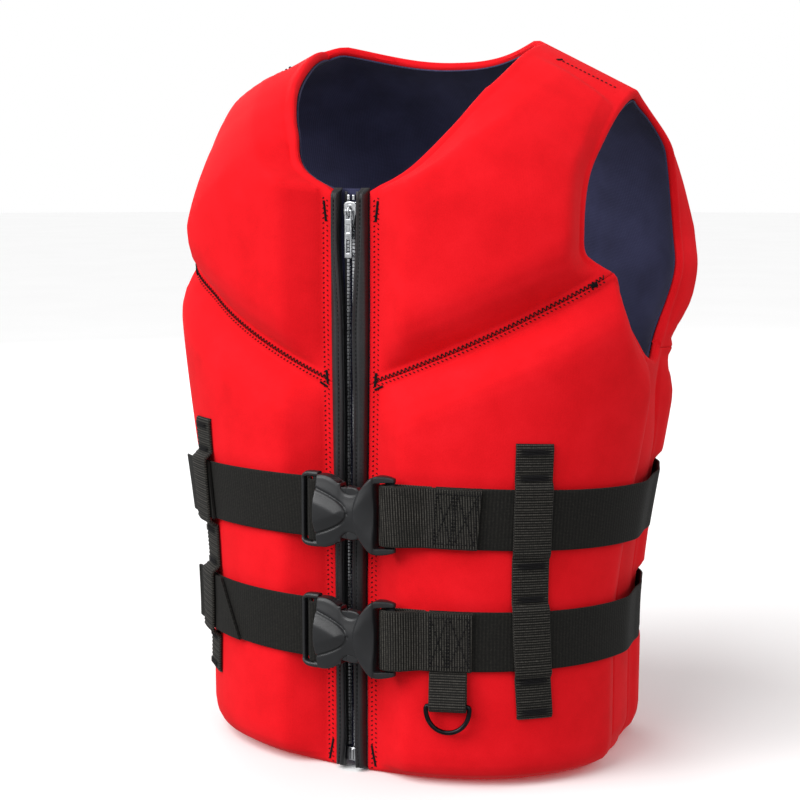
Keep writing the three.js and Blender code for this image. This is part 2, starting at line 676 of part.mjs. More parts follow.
/** The plug's frame: two webbing bars, and a short neck that enters the socket. */
function plugGeometry() {
  const back = BUCKLE_BACK + 0.6;
  const half = [[-23, 25], [-9.6, 25.5]];
  const frame = facing(outlineShape(mirrored(half)), back, 6);
  const slot = block([-20.4, -14.6], [-back - 10, 0], [-21.6, 21.6]);
  const neck = block([-9.8, -6.8], [-BUCKLE_BACK - 7.4, -BUCKLE_BACK - 4.2], [-17.5, 17.5]);
  const tongue = block([-7, 20], [-BUCKLE_BACK - 7.4, -BUCKLE_BACK - 4.2], [-5, 5]);
  return join(cut(frame, slot), neck, tongue);
}

/** One latch arm, drawn from its root, with the thumb pad at its tip. */
function latchGeometry() {
  const outline = outlineShape([[0.4, -2], [12, -2.2], [19, -4.5], [29, -6], [30, -3],
    [29, 2.6], [22, 3.4], [17, 2.2], [0.4, 2]]);
  return facing(outline, BUCKLE_BACK + 4.2, 4.6);
}

function addBuckle(level, middle) {
  const buckle = new THREE.Group();
  buckle.position.z = middle;
  vest.add(buckle);
  add(`${level}_buckle_socket`, socketGeometry(), BLACK_PLASTIC, buckle);
  add(`${level}_buckle_plug`, plugGeometry(), BLACK_PLASTIC, buckle);
  for (const [edge, side] of [['top', 1], ['bottom', -1]]) {
    const geometry = latchGeometry();
    if (side < 0) {
      geometry.copy(orient(mergeVertices(geometry.scale(1, 1, -1))));
    }
    geometry.translate(ARM_PIVOT_X, 0, side * 14.6);
    add(`${level}_latch_${edge}`, geometry, BLACK_PLASTIC, buckle);
  }
}

// ---------------------------------------------------------------- D-ring
function addRing() {
  const ring = new THREE.Group();
  const angle = angleAt(RING_X, RING_Z);
  const normal = torsoNormal(angle, RING_Z);
  const turn = Math.atan2(normal.x, -normal.y);
  ring.position.copy(layerPoint(angle, RING_Z, BELT_LOW));
  ring.rotation.z = turn;
  vest.add(ring);

  // The tab: webbing folded round the ring's straight bar, drawn in outward depth and height.
  const barDepth = 4;
  const tabTop = LOWER_BELT_HEIGHT - BELT_WIDTH / 2 - 0.6 - RING_Z;
  const outline = new THREE.Shape();
  outline.moveTo(0.4, tabTop);
  outline.lineTo(0.4, 0);
  outline.absarc(barDepth, 0, barDepth - 0.4, Math.PI, 2 * Math.PI, false);
  outline.lineTo(3.6, tabTop);
  const eye = new THREE.Path();
  eye.absarc(barDepth, 0, RING_WIRE + 0.6, 0, 2 * Math.PI, true);
  outline.holes.push(eye);
  const tab = new THREE.ExtrudeGeometry(outline,
    { depth: KEEPER_WIDTH, bevelEnabled: false, curveSegments: 5 });
  tab.translate(0, 0, -KEEPER_WIDTH / 2);
  tab.applyMatrix4(new THREE.Matrix4().makeBasis(new THREE.Vector3(0, -1, 0),
    new THREE.Vector3(0, 0, 1), new THREE.Vector3(-1, 0, 0)));
  add('d_ring_tab', tab, BLACK_WEBBING, ring);

  // The ring: a round wire along a straight bar and a deep arc below it.
  const halfBar = RING_INSIDE / 2 + RING_WIRE;
  const path = [[1.2 - halfBar, 0], [halfBar - 1.2, 0]];
  for (let i = 0; i <= 12; i += 1) {
    const theta = Math.PI * i / 12;
    path.push([halfBar * Math.cos(theta), (4 - RING_DEPTH) * Math.sin(theta) - 4]);
  }
  const loops = path.map(([x, z], i) => {
    const [beforeX, beforeZ] = path[(i + path.length - 1) % path.length];
    const [afterX, afterZ] = path[(i + 1) % path.length];
    const along = new THREE.Vector2(afterX - beforeX, afterZ - beforeZ).normalize();
    return Array.from({ length: 8 }, (_, k) => {
      const spin = Math.PI * k / 4;
      return new THREE.Vector3(x - along.y * RING_WIRE * Math.cos(spin),
        -barDepth + RING_WIRE * Math.sin(spin), z + along.x * RING_WIRE * Math.cos(spin));
    });
  });
  add('d_ring', loft(loops, true), DARK_METAL, ring);
}

addPanels();
addGussets();
addLinings();
addBindings();
addZipChain();
addSlider();
addPull();
for (const [level, middle] of [['upper', UPPER_BELT_HEIGHT], ['lower', LOWER_BELT_HEIGHT]]) {
  addBelt(level, middle);
  addBuckle(level, middle);
}
addTails();
addKeepers();
addRing();

export default group;
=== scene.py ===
import math

import bmesh
import bpy
import numpy as np
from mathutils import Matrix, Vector, kdtree


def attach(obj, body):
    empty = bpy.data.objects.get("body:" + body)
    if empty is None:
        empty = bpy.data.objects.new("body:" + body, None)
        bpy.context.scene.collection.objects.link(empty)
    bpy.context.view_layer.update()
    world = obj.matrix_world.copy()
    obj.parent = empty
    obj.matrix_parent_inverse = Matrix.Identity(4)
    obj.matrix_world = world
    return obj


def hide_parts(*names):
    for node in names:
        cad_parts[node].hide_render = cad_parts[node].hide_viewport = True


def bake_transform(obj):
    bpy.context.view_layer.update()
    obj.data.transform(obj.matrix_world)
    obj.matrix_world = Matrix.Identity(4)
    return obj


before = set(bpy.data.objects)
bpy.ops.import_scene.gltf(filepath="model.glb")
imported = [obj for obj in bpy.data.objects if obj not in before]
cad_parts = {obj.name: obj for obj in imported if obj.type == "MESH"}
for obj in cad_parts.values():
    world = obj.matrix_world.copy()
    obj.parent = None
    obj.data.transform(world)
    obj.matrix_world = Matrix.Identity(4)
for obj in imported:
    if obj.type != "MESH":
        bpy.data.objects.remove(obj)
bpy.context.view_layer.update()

# Neoprene buoyancy vest. Shapes are worked out in millimetres in the torso's own frame and become
# metres in the row frame when a mesh is made. +X is the wearer's left, -Y the front, +Z up.

# ---------------------------------------------------------------- driving dimensions
CENTRE = np.array([0.0, 10.25, 0.0])
# Upright sizes of the torso form, which is the inner face of the lining.
VEST_HEIGHT = 489.0
ZIP_HEIGHT = 396.0
SIDE_TURN_DROP = 60.0
SHOULDER_ARC = 170.0
SHOULDER_DROP = 35.0
NECK_POINT_X = 84.5
SHOULDER_TIP_X = 156.8
WAIST_HEIGHT = 85.0
CHEST_HEIGHT = 340.0
WAIST_HALF_WIDTH = 137.0
CHEST_HALF_WIDTH = 167.0
FRONT_DEPTH = 106.6
WAIST_BACK_DEPTH = 92.8
CHEST_BACK_DEPTH = 103.0
SECTION_POWER = 2 / 2.3
SHOULDER_POWER = 2 / 1.8

# Layers, measured outwards from the torso form.
FOAM_BASE = 3.0
FOAM_THICKNESS = 18.0
LAYER_GAP = 0.8
SHELL_THICKNESS = 2.2
SHELL_LOW = FOAM_BASE + LAYER_GAP
SHELL_HIGH = SHELL_LOW + SHELL_THICKNESS
BELT_LOW = SHELL_HIGH + FOAM_THICKNESS + 1.3
WEBBING = 1.6
LAYER_RISE = WEBBING + 0.9
UNEVENNESS = 0.55
# How far the belts dip under the arms and press into the foam, and how far the stretched shell
# bridges the valleys at the chest seam's ends, the back seam and the sides.
SIDE_DIP = 6.0
FRONT_SQUEEZE = 0.7
BACK_SQUEEZE = 5.4
SEAM_BRIDGE = 5.5
BACK_BRIDGE = 10.0
SIDE_BRIDGE = 6.0
# How far the neck edge sags in on the right, and the back's arm edges stand out.
NECK_SAG = 9.0
BLADE_SPREAD = 15.0

# Seams and edges: angles round the torso, 0 in front, 90 at the wearer's left, and heights.
ZIP_EDGE = 3.4
BINDING_EDGE = 3.25
FRONT_SIDE_SEAM = 88.0
BACK_SIDE_SEAM = 104.0
UNDERARM = 96.0
NECK_ANGLE = 27.5
TIP_ANGLE = 67.0
BACK_SEAM_HEIGHT = 286.0
BACK_NECK_HEIGHT = 515.0
BACK_NECK_RISE = 38.0
CHEST_SEAM_HEIGHT = 262.0
CHEST_SEAM_SLOPE = 1.22
BELT_WIDTH = 41.0
BELTS = {"upper": 184.5, "lower": 101.5}
BUCKLE_BACK = FRONT_DEPTH + 27
KEEPER_WIDTH = 25.0
KEEPER_LOW = 48.0
KEEPER_HIGH = 235.0
KEEPER_BOTTOM_ANGLE = 50.5
KEEPER_TOP_ANGLE = 45.0


# ---------------------------------------------------------------- small helpers
def mix(a, b, t):
    return a + (b - a) * t


def smoothstep(low, high, x):
    t = np.clip((x - low) / (high - low), 0, 1)
    return t * t * (3 - 2 * t)


def signed_power(x, power):
    return np.sign(x) * np.abs(x) ** power


def smooth_table(points):
    """A smooth function through (x, y) points, flat beyond its ends."""
    xs, ys = np.array(points, float).T
    near = np.clip(np.arange(len(xs))[:, None] + (-1, 1), 0, len(xs) - 1)
    slopes = (ys[near[:, 1]] - ys[near[:, 0]]) / (xs[near[:, 1]] - xs[near[:, 0]])

    def curve(x):
        x = np.clip(x, xs[0], xs[-1])
        i = np.clip(np.searchsorted(xs, x, side="right") - 1, 0, len(xs) - 2)
        span, rise = xs[i + 1] - xs[i], ys[i + 1] - ys[i]
        t = (x - xs[i]) / span
        bend = (1 - t) * (slopes[i] * span - rise) - t * (slopes[i + 1] * span - rise)
        return ys[i] + rise * t + t * (1 - t) * bend

    return curve


def running(steps, axis=0):
    """Running totals that start from zero."""
    return np.insert(np.cumsum(steps, axis), 0, 0, axis)


def path_travel(points):
    """The length travelled along a line of points, at each point."""
    return running(np.linalg.norm(np.diff(points, axis=0), axis=1))


def profile(*points):
    xs, ys = zip(*points)
    return lambda x: np.interp(x, xs, ys)


# ---------------------------------------------------------------- torso form
def turn_height(angle):
    """The height at which the upright form starts to turn over the shoulder."""
    return ZIP_HEIGHT - SIDE_TURN_DROP * np.sin(np.radians(angle)) ** 2


def ridge(angle):
    """The height at which front and back meet on the shoulder."""
    return turn_height(angle) + SHOULDER_ARC


def torso_point(angle, v):
    """A point of the inner torso form; v runs up the body and on over the shoulder."""
    angle, v = np.broadcast_arrays(np.asarray(angle, float), np.asarray(v, float))
    side, front = np.sin(np.radians(angle)), np.cos(np.radians(angle))
    turn = turn_height(angle)
    phase = np.clip((v - turn) / SHOULDER_ARC, 0, 1) * math.pi / 2
    over = np.sin(phase) ** SHOULDER_POWER
    upright = np.minimum(v, turn)
    widening = smoothstep(WAIST_HEIGHT, CHEST_HEIGHT, upright + (VEST_HEIGHT - turn) * over)
    x = mix(WAIST_HALF_WIDTH, CHEST_HALF_WIDTH, widening) * signed_power(side, SECTION_POWER)
    slope = (np.abs(x) - NECK_POINT_X) / (SHOULDER_TIP_X - NECK_POINT_X)
    top = VEST_HEIGHT - SHOULDER_DROP * np.clip(slope, -0.1, 1.5)
    z = upright + (top - turn) * over
    back = mix(WAIST_BACK_DEPTH, CHEST_BACK_DEPTH, smoothstep(WAIST_HEIGHT, CHEST_HEIGHT, z))
    depth = np.where(front > 0, FRONT_DEPTH, back)
    y = -depth * signed_power(front, SECTION_POWER) * np.abs(np.cos(phase)) ** SHOULDER_POWER
    return np.stack([x, y, z], -1)


def unit(vectors):
    return vectors / np.maximum(np.linalg.norm(vectors, axis=-1, keepdims=True), 1e-12)


def torso_normal(angle, v):
    angle, v = np.asarray(angle, float), np.asarray(v, float)
    across = torso_point(angle + 0.06, v) - torso_point(angle - 0.06, v)
    up = torso_point(angle, v + 0.3) - torso_point(angle, v - 0.3)
    return unit(np.cross(across, up))


def layer_point(angle, v, height):
    return torso_point(angle, v) + torso_normal(angle, v) * np.asarray(height, float)[..., None]


def angle_at(x, v):
    """The angle at which the front of the torso form reaches x at height v."""
    share = np.abs(x) / np.abs(torso_point(90.0, v)[..., 0])
    return np.sign(x) * np.degrees(np.arcsin(share ** (1 / SECTION_POWER)))


# ---------------------------------------------------------------- outlines
def chest_seam(angle):
    return CHEST_SEAM_HEIGHT + CHEST_SEAM_SLOPE * angle


NECK_EDGE = smooth_table([(396, ZIP_EDGE), (403, 7), (414, 11.5), (430, 16), (452, 21),
                          (486, 26), (520, 27.4), (553, NECK_ANGLE)])
FRONT_ARM_EDGE = smooth_table([(279, UNDERARM), (283, 90), (293, 84), (315, 73.5), (341, 67),
                               (346, 63), (354, 58.5), (372, 57.3), (411, 57.3), (441, 60.5),
                               (484, 65), (515, TIP_ANGLE)])
BACK_ARM_EDGE = smooth_table([(279, UNDERARM), (285, 102), (296, 105), (330, 113), (370, 119),
                              (420, 120), (470, 118), (515, 180 - TIP_ANGLE)])
UNDERARM_EDGE = smooth_table([(67, 342), (73.5, 315), (84, 292), (90, 283), (96, 279),
                              (102, 284), (106, 298)])


def front_start(v):
    """The front edge of the front panels: along the zip, then along the neck."""
    return np.where(v < ZIP_HEIGHT, ZIP_EDGE, NECK_EDGE(v))


def back_top(angle):
    """The top of the back: the neck's curve in the middle, the shoulder ridge beside it."""
    across = np.abs(angle - 180) / NECK_ANGLE
    return np.where(across < 1, BACK_NECK_HEIGHT + BACK_NECK_RISE * across ** 2, ridge(angle))


def constant(value):
    return lambda x: np.full(np.shape(x), float(value))


# How much of the foam's thickness lies under the shell at a distance in from each kind of edge.
ZIP_BEVEL = profile((7.5, 0), (9, 0.08), (13, 0.25), (30, 0.93), (34, 0.985), (38, 1))
SEAM_BEVEL = profile((5.5, 0), (7, 0.1), (12, 0.42), (20, 0.76), (30, 0.95), (38, 1))
ARM_BEVEL = profile((4.5, 0), (6, 0.14), (8, 0.36), (15, 0.93), (18, 0.99), (20, 1))
SHOULDER_BEVEL = profile((26, 0), (29, 0.17), (48, 0.25), (72, 0.4), (98, 0.7), (126, 1))
SIDE_BEVEL = profile((3.5, 0), (5, 0.18), (14, 0.72), (23, 0.97), (28, 1))
HEM_BEVEL = profile((1.5, 0), (3, 0.3), (8, 0.76), (14, 0.94), (22, 1))


def everywhere(angle, v):
    return np.ones(np.shape(angle), bool)


def nowhere(angle, v):
    return np.zeros(np.shape(angle), bool)


# Each panel's edges, in the order low, high, start and end, with a bevel and the part that is free.
NO_BEVEL = constant(0)
PANEL_GAP = 0.1
SIDE_GAP = 0.02
CHEST_SEAM_END = 64.5
BACK_ARM_LOW = 292.0


PANELS = {
    "front_lower": dict(
        low=constant(0), high=lambda a: np.minimum(chest_seam(a), UNDERARM_EDGE(a)) - PANEL_GAP,
        start=constant(ZIP_EDGE), end=constant(FRONT_SIDE_SEAM - SIDE_GAP),
        bevels=(HEM_BEVEL, SEAM_BEVEL, ZIP_BEVEL, SIDE_BEVEL),
        free=(everywhere, lambda a, v: a > CHEST_SEAM_END, nowhere, nowhere)),
    "front_upper": dict(
        low=lambda a: chest_seam(a) + PANEL_GAP, high=ridge,
        start=front_start, end=FRONT_ARM_EDGE,
        bevels=(SEAM_BEVEL, SHOULDER_BEVEL, ZIP_BEVEL, ARM_BEVEL),
        free=(nowhere, nowhere, lambda a, v: v > ZIP_HEIGHT + 0.5, everywhere)),
    "back_lower": dict(
        low=constant(0), high=constant(BACK_SEAM_HEIGHT - PANEL_GAP),
        start=constant(BACK_SIDE_SEAM + SIDE_GAP), end=constant(360 - BACK_SIDE_SEAM - SIDE_GAP),
        bevels=(HEM_BEVEL, SEAM_BEVEL, SIDE_BEVEL, SIDE_BEVEL),
        free=(everywhere, nowhere, nowhere, nowhere)),
    "back_upper": dict(
        low=constant(BACK_SEAM_HEIGHT + PANEL_GAP), high=back_top,
        start=lambda v: np.maximum(BACK_ARM_EDGE(v), BACK_SIDE_SEAM),
        end=lambda v: 360 - np.maximum(BACK_ARM_EDGE(v), BACK_SIDE_SEAM),
        bevels=(SEAM_BEVEL, SHOULDER_BEVEL, ARM_BEVEL, ARM_BEVEL),
        free=(nowhere, lambda a, v: np.abs(a - 180) < NECK_ANGLE,
              lambda a, v: v > BACK_ARM_LOW, lambda a, v: v > BACK_ARM_LOW)),
    "side_gusset": dict(
        low=constant(0), high=lambda a: UNDERARM_EDGE(a) - PANEL_GAP,
        start=constant(FRONT_SIDE_SEAM + SIDE_GAP), end=constant(BACK_SIDE_SEAM - SIDE_GAP),
        bevels=(NO_BEVEL,) * 4,
        free=(everywhere, everywhere, nowhere, nowhere)),
}


# ---------------------------------------------------------------- panel grids
def panel_point(panel, s, r):
    """Angle and height of the points a share s across and r up a panel."""
    low, high = panel["low"], panel["high"]

    def edge_angle(edge):
        angle = edge(mix(low(45.0), high(45.0), r))
        for _ in range(12):
            angle = mix(angle, edge(mix(low(angle), high(angle), r)), 0.6)
        return angle

    angle = mix(edge_angle(panel["start"]), edge_angle(panel["end"]), s)
    return angle, mix(low(angle), high(angle), r)


EDGE_LINES = np.array([0, 0.25, 0.7, 1.3, 2.1, 3.1, 4.2, 5.2, 6.4, 7.6, 9, 11, 13.2])


def grid_lines(lengths, count, inset):
    """Shares along each length: close lines near both ends, even steps between them."""
    lengths = np.asarray(lengths, float)[:, None]
    first = (EDGE_LINES + inset) / lengths
    last = 1 - first[:, ::-1]
    steps = np.linspace(0, 1, count + 1)[None, 1:-1]
    return np.concatenate([first, mix(first[:, -1:], last[:, :1], steps), last], 1)


def path_length(angle, v):
    points = torso_point(angle, v)
    return np.linalg.norm(np.diff(points, axis=-2), axis=-1).sum(-1)


def panel_grid(panel, step=3.2, inset=0.0):
    """The angles and heights of a fine grid over a panel."""
    ticks = np.linspace(0, 1, 25)
    middle = path_length(*panel_point(panel, ticks, 0.5))
    tall = path_length(*panel_point(panel, 0.5, ticks))
    columns, rows = round(middle / step), round(tall / step)
    r_middle = grid_lines([tall], rows, inset)[0]
    widths = path_length(*panel_point(panel, ticks[None, :], r_middle[:, None]))
    s = grid_lines(widths, columns, inset)
    s_middle = s[len(s) // 2]
    heights = path_length(*panel_point(panel, s_middle[:, None], ticks[None, :]))
    r = grid_lines(heights, rows, inset).T
    return panel_point(panel, s, r)


def edge_line(panel, side, count=900):
    """Angles and heights along one edge: 0 low, 1 high, 2 start, 3 end."""
    ticks = np.linspace(0, 1, count)
    if side < 2:
        return panel_point(panel, ticks, float(side))
    return panel_point(panel, float(side - 2), ticks)


def distances(points, line):
    """The distance from each grid point to the nearest point of a line."""
    tree = kdtree.KDTree(len(line))
    for i, point in enumerate(line):
        tree.insert(point, i)
    tree.balance()
    return np.array([tree.find(point)[2] for point in points.reshape(-1, 3)]).reshape(
        points.shape[:-1])


def edge_distances(points):
    """Lengths along a grid's columns to its low and high edges and along its rows to both ends."""
    from_low, from_start = (running(np.linalg.norm(np.diff(points, axis=axis), axis=-1), axis)
                            for axis in (0, 1))
    return from_low, from_low[-1:] - from_low, from_start, from_start[:, -1:] - from_start


FAR = 99.0


def foam_share(panel, angle, v):
    """The foam's share of its thickness, and the distances to seams and to free edges."""
    points = torso_point(angle, v)
    share = np.ones(points.shape[:-1])
    for bevel, inward in zip(panel["bevels"], edge_distances(points)):
        share *= bevel(inward)
    seam = np.full(share.shape, FAR)
    free = seam.copy()
    for side, is_free in enumerate(panel["free"]):
        edge_angle, edge_v = edge_line(panel, side)
        line = torso_point(edge_angle, edge_v)
        open_part = is_free(edge_angle, edge_v)
        if open_part.any():
            free = np.minimum(free, distances(points, line[open_part]))
        if not open_part.all():
            seam = np.minimum(seam, distances(points, line[~open_part]))
    return share, seam, free


def round_off(distance, radius):
    """How far a surface drops towards its edge when the edge is rounded to a radius."""
    t = 1 - np.clip(distance / radius, 0, 1)
    return radius * (1 - np.sqrt(1 - t * t))


WAVES = np.random.default_rng(7).uniform(-1, 1, (9, 4))


def unevenness(angle, v):
    """Slow hills and hollows, as hand-stretched neoprene has, from -1 to 1."""
    total = 0
    for a, b, c, d in WAVES:
        total = total + np.sin(angle * (0.055 + 0.075 * a) + v * (0.018 + 0.03 * b) + 9 * c) * d
    return total / 3


# ---------------------------------------------------------------- mesh builders
def grid_faces(rows, columns, offset=0):
    start = (np.arange(rows - 1)[:, None] * columns + np.arange(columns - 1)[None, :]).ravel()
    return np.stack([start, start + 1, start + columns + 1, start + columns], 1) + offset


def hang(points):
    """The neck edge on the wearer's right sags in and the back's arm edges stand out."""
    x, y, z = points.T
    near_edge = smoothstep(-138, -84, x) * (1 - smoothstep(-62, -28, x))
    sag = NECK_SAG * near_edge * smoothstep(398, 436, z) * (1 - smoothstep(-50, 25, y))
    blade = smoothstep(105, 148, np.abs(x)) * smoothstep(0, 24, y)
    blade = blade * smoothstep(285, 350, z) * (1 - smoothstep(418, 464, z))
    return points + np.stack([sag + BLADE_SPREAD * np.sign(x) * blade, 4 * blade, 0 * z], -1)


def linked(name, data):
    """A new object in the scene that shows the data."""
    obj = bpy.data.objects.new(name, data)
    bpy.context.scene.collection.objects.link(obj)
    return obj


def make_object(name, points, faces, material, uv=None, sharp=50.0):
    """A mesh object from points in torso millimetres, its faces turned outwards."""
    mesh = bpy.data.meshes.new(name)
    metres = (hang(np.asarray(points, float).reshape(-1, 3)) + CENTRE) / 1000
    mesh.from_pydata(metres.tolist(), [], [list(map(int, face)) for face in faces])
    work = bmesh.new()
    work.from_mesh(mesh)
    if uv is not None:
        layer = work.loops.layers.uv.new("mm")
        flat = np.asarray(uv, float).reshape(-1, 2)
        work.verts.ensure_lookup_table()
        for face in work.faces:
            for loop in face.loops:
                loop[layer].uv = flat[loop.vert.index]
    bmesh.ops.recalc_face_normals(work, faces=work.faces)
    if work.calc_volume(signed=True) < 0:
        bmesh.ops.reverse_faces(work, faces=work.faces)
    work.to_mesh(mesh)
    work.free()
    mesh.polygons.foreach_set("use_smooth", [True] * len(mesh.polygons))
    mesh.set_sharp_from_angle(angle=math.radians(sharp))
    mesh.materials.append(material)
    return linked(name, mesh)


def settle(obj, nodes=(), body="root"):
    """The piece rides on a body and stands for its CAD nodes."""
    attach(obj, body)
    if nodes:
        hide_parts(*nodes)
    return obj


def between(low, high):
    """Points and faces of the closed body between two matching grids."""
    rows, columns = low.shape[:2]
    count = rows * columns
    index = np.arange(count).reshape(rows, columns)
    rim = np.concatenate([index[0, :-1], index[:-1, -1], index[-1, :0:-1], index[:0:-1, 0]])
    after = np.roll(rim, -1)
    side = np.stack([rim, rim + count, after + count, after], 1)
    faces = np.concatenate([grid_faces(rows, columns)[:, ::-1],
                            grid_faces(rows, columns, count), side[:, ::-1]])
    return np.concatenate([low.reshape(-1, 3), high.reshape(-1, 3)]), faces


def grid_uv(grid):
    """Millimetres along each row and each column of a grid of points."""
    return np.stack([running(np.linalg.norm(np.diff(grid, axis=axis), axis=-1), axis)
                     for axis in (1, 0)], -1)


def sheet_object(name, low, high, material):
    """A closed sheet between two grids, with its weave measured in millimetres on the outside."""
    points, faces = between(low, high)
    uv = grid_uv(high).reshape(-1, 2)
    return make_object(name, points, faces, material, np.concatenate([uv, uv]))


def as_built(points):
    return points


def mirror_x(points):
    return points * np.array([-1.0, 1.0, 1.0])


PAIR = (("left_", as_built), ("right_", mirror_x))
SINGLE = (("", as_built),)


def merge(parts):
    """One list of points and faces from several."""
    points, faces, offset = [], [], 0
    for part_points, part_faces in parts:
        part_points = np.asarray(part_points, float).reshape(-1, 3)
        points.append(part_points)
        faces += [[int(i) + offset for i in face] for face in part_faces]
        offset += len(part_points)
    return np.concatenate(points), faces


def loft(loops, closed=False):
    """Points and faces of a tube through matching loops, with flat ends if it isn't closed."""
    loops = np.asarray(loops, float)
    spans, sides = loops.shape[:2]
    faces = []
    for j in range(spans if closed else spans - 1):
        a, b = j * sides, (j + 1) % spans * sides
        faces += [[a + i, a + (i + 1) % sides, b + (i + 1) % sides, b + i] for i in range(sides)]
    if not closed:
        faces.append(list(range(sides))[::-1])
        faces.append([(spans - 1) * sides + i for i in range(sides)])
    return loops.reshape(-1, 3), faces


def corner_cut(loop, times=2):
    """A closed outline with its corners cut again and again, which rounds it."""
    loop = np.asarray(loop, float)
    for _ in range(times):
        after = np.roll(loop, -1, 0)
        loop = np.stack([mix(loop, after, 0.25), mix(loop, after, 0.75)], 1).reshape(
            -1, loop.shape[-1])
    return loop


def wire(path, radius, sides=12, closed=False):
    """A round wire along a path of points."""
    path = np.asarray(path, float)
    if closed:
        along = np.roll(path, -1, 0) - np.roll(path, 1, 0)
    else:
        along = np.gradient(path, axis=0)
    along = unit(along)
    loops = []
    side = unit(np.cross(along[0], [0.3, 0.5, 0.81]))
    for point, direction in zip(path, along):
        side = unit(side - direction * np.dot(side, direction))
        other = np.cross(direction, side)
        spin = np.linspace(0, 2 * math.pi, sides, endpoint=False)[:, None]
        loops.append(point + radius * (np.cos(spin) * side + np.sin(spin) * other))
    return loft(loops, closed)


def box_part(x, y, z):
    """Points and faces of a box from its limits."""
    points = [(i, j, k) for i in x for j in y for k in z]
    faces = [(0, 1, 3, 2), (4, 6, 7, 5), (0, 4, 5, 1), (2, 3, 7, 6), (0, 2, 6, 4), (1, 5, 7, 3)]
    return points, faces


def moved(parts, offset, flip=1):
    """Parts moved by an offset, and turned upside down when flip is -1."""
    turned = []
    for points, faces in parts:
        points = np.asarray(points, float).reshape(-1, 3) * (1, 1, flip)
        turned.append((points + offset, faces))
    return turned


def fused(name, parts, voxel, material, passes=2):
    """One smooth moulded body from overlapping parts, with rounded edges and inner corners."""
    points, faces = merge(parts)
    rough = make_object(name + "_rough", points, faces, material)
    remesh = rough.modifiers.new("remesh", "REMESH")
    remesh.mode = "VOXEL"
    remesh.voxel_size = voxel / 1000
    remesh.use_smooth_shade = True
    ease = rough.modifiers.new("ease", "SMOOTH")
    ease.factor = 0.5
    ease.iterations = passes
    evaluated = rough.evaluated_get(bpy.context.evaluated_depsgraph_get())
    mesh = bpy.data.meshes.new_from_object(evaluated)
    mesh.name = name
    mesh.materials.clear()
    mesh.materials.append(material)
    mesh.polygons.foreach_set("use_smooth", [True] * len(mesh.polygons))
    obj = linked(name, mesh)
    bpy.data.objects.remove(rough)
    return obj


# ---------------------------------------------------------------- materials
class Nodes:
    """A short way to write a material's nodes."""

    def __init__(self, name, roughness, metallic=0.0, specular=0.5, sheen=0.0):
        self.material = bpy.data.materials.new(name)
        self.material.use_nodes = True
        self.tree = self.material.node_tree
        self.shader = self.tree.nodes["Principled BSDF"]
        self.shader.inputs["Metallic"].default_value = metallic
        self.shader.inputs["Roughness"].default_value = roughness
        self.shader.inputs["Specular IOR Level"].default_value = specular
        self.shader.inputs["Sheen Weight"].default_value = sheen
        self.shader.inputs["Sheen Roughness"].default_value = 0.45
        self.place = self.tree.nodes.new("ShaderNodeTexCoord")

    def node(self, kind, **inputs):
        node = self.tree.nodes.new(kind)
        for key, value in inputs.items():
            socket = node.inputs[key.replace("_", " ")]
            if isinstance(value, bpy.types.NodeSocket):
                self.tree.links.new(value, socket)
            else:
                socket.default_value = value
        return node

    def math(self, operation, a, b=0.0):
        node = self.tree.nodes.new("ShaderNodeMath")
        node.operation = operation
        for socket, value in zip(node.inputs, (a, b)):
            if isinstance(value, bpy.types.NodeSocket):
                self.tree.links.new(value, socket)
            else:
                socket.default_value = value
        return node.outputs[0]

    def noise(self, scale, detail=3.0, roughness=0.5):
        """Noise over the object, its scale in features to a metre."""
        node = self.node("ShaderNodeTexNoise", Vector=self.place.outputs["Object"], Scale=scale,
                         Detail=detail, Roughness=roughness)
        return node.outputs["Fac"]

    def ripple(self, axis, period):
        """A wave from 0 to 1 along the cloth, its period in millimetres."""
        split = self.node("ShaderNodeSeparateXYZ", Vector=self.place.outputs["UV"])
        turns = self.math("MULTIPLY", split.outputs[axis], 2 * math.pi / period)
        return self.math("ADD", self.math("MULTIPLY", self.math("SINE", turns), 0.5), 0.5)

    def colours(self, factor, stops):
        ramp = self.node("ShaderNodeValToRGB", Fac=factor)
        elements = ramp.color_ramp.elements
        while len(elements) < len(stops):
            elements.new(0.5)
        for element, (position, colour) in zip(elements, stops):
            element.position = position
            element.color = (*colour, 1.0)
        self.tree.links.new(ramp.outputs["Color"], self.shader.inputs["Base Color"])

    def rough(self, factor, low, high):
        value = self.math("ADD", self.math("MULTIPLY", factor, high - low), low)
        self.tree.links.new(value, self.shader.inputs["Roughness"])

    def bump(self, height, depth_mm, strength=1.0, after=None):
        node = self.node("ShaderNodeBump", Height=height, Distance=depth_mm / 1000,
                         Strength=strength)
        if after is not None:
            self.tree.links.new(after, node.inputs["Normal"])
        self.tree.links.new(node.outputs["Normal"], self.shader.inputs["Normal"])
        return node.outputs["Normal"]


def shell_material():
    n = Nodes("red_neoprene", 0.8, specular=0.1, sheen=0.02)
    blotch = n.noise(35.0, 4.0, 0.6)
    knit = n.math("MULTIPLY", n.ripple(0, 1.05), n.ripple(1, 0.8))
    grain = n.noise(1600.0, 2.0)
    tone = n.math("ADD", n.math("MULTIPLY", blotch, 0.6), n.math("MULTIPLY", grain, 0.4))
    n.colours(tone, [(0.25, (0.68, 0.004, 0.008)), (0.5, (0.8, 0.006, 0.012)),
                     (0.75, (0.88, 0.01, 0.018))])
    n.rough(grain, 0.7, 0.9)
    n.bump(knit, 0.07, 0.6, n.bump(grain, 0.12, 0.5))
    return n.material


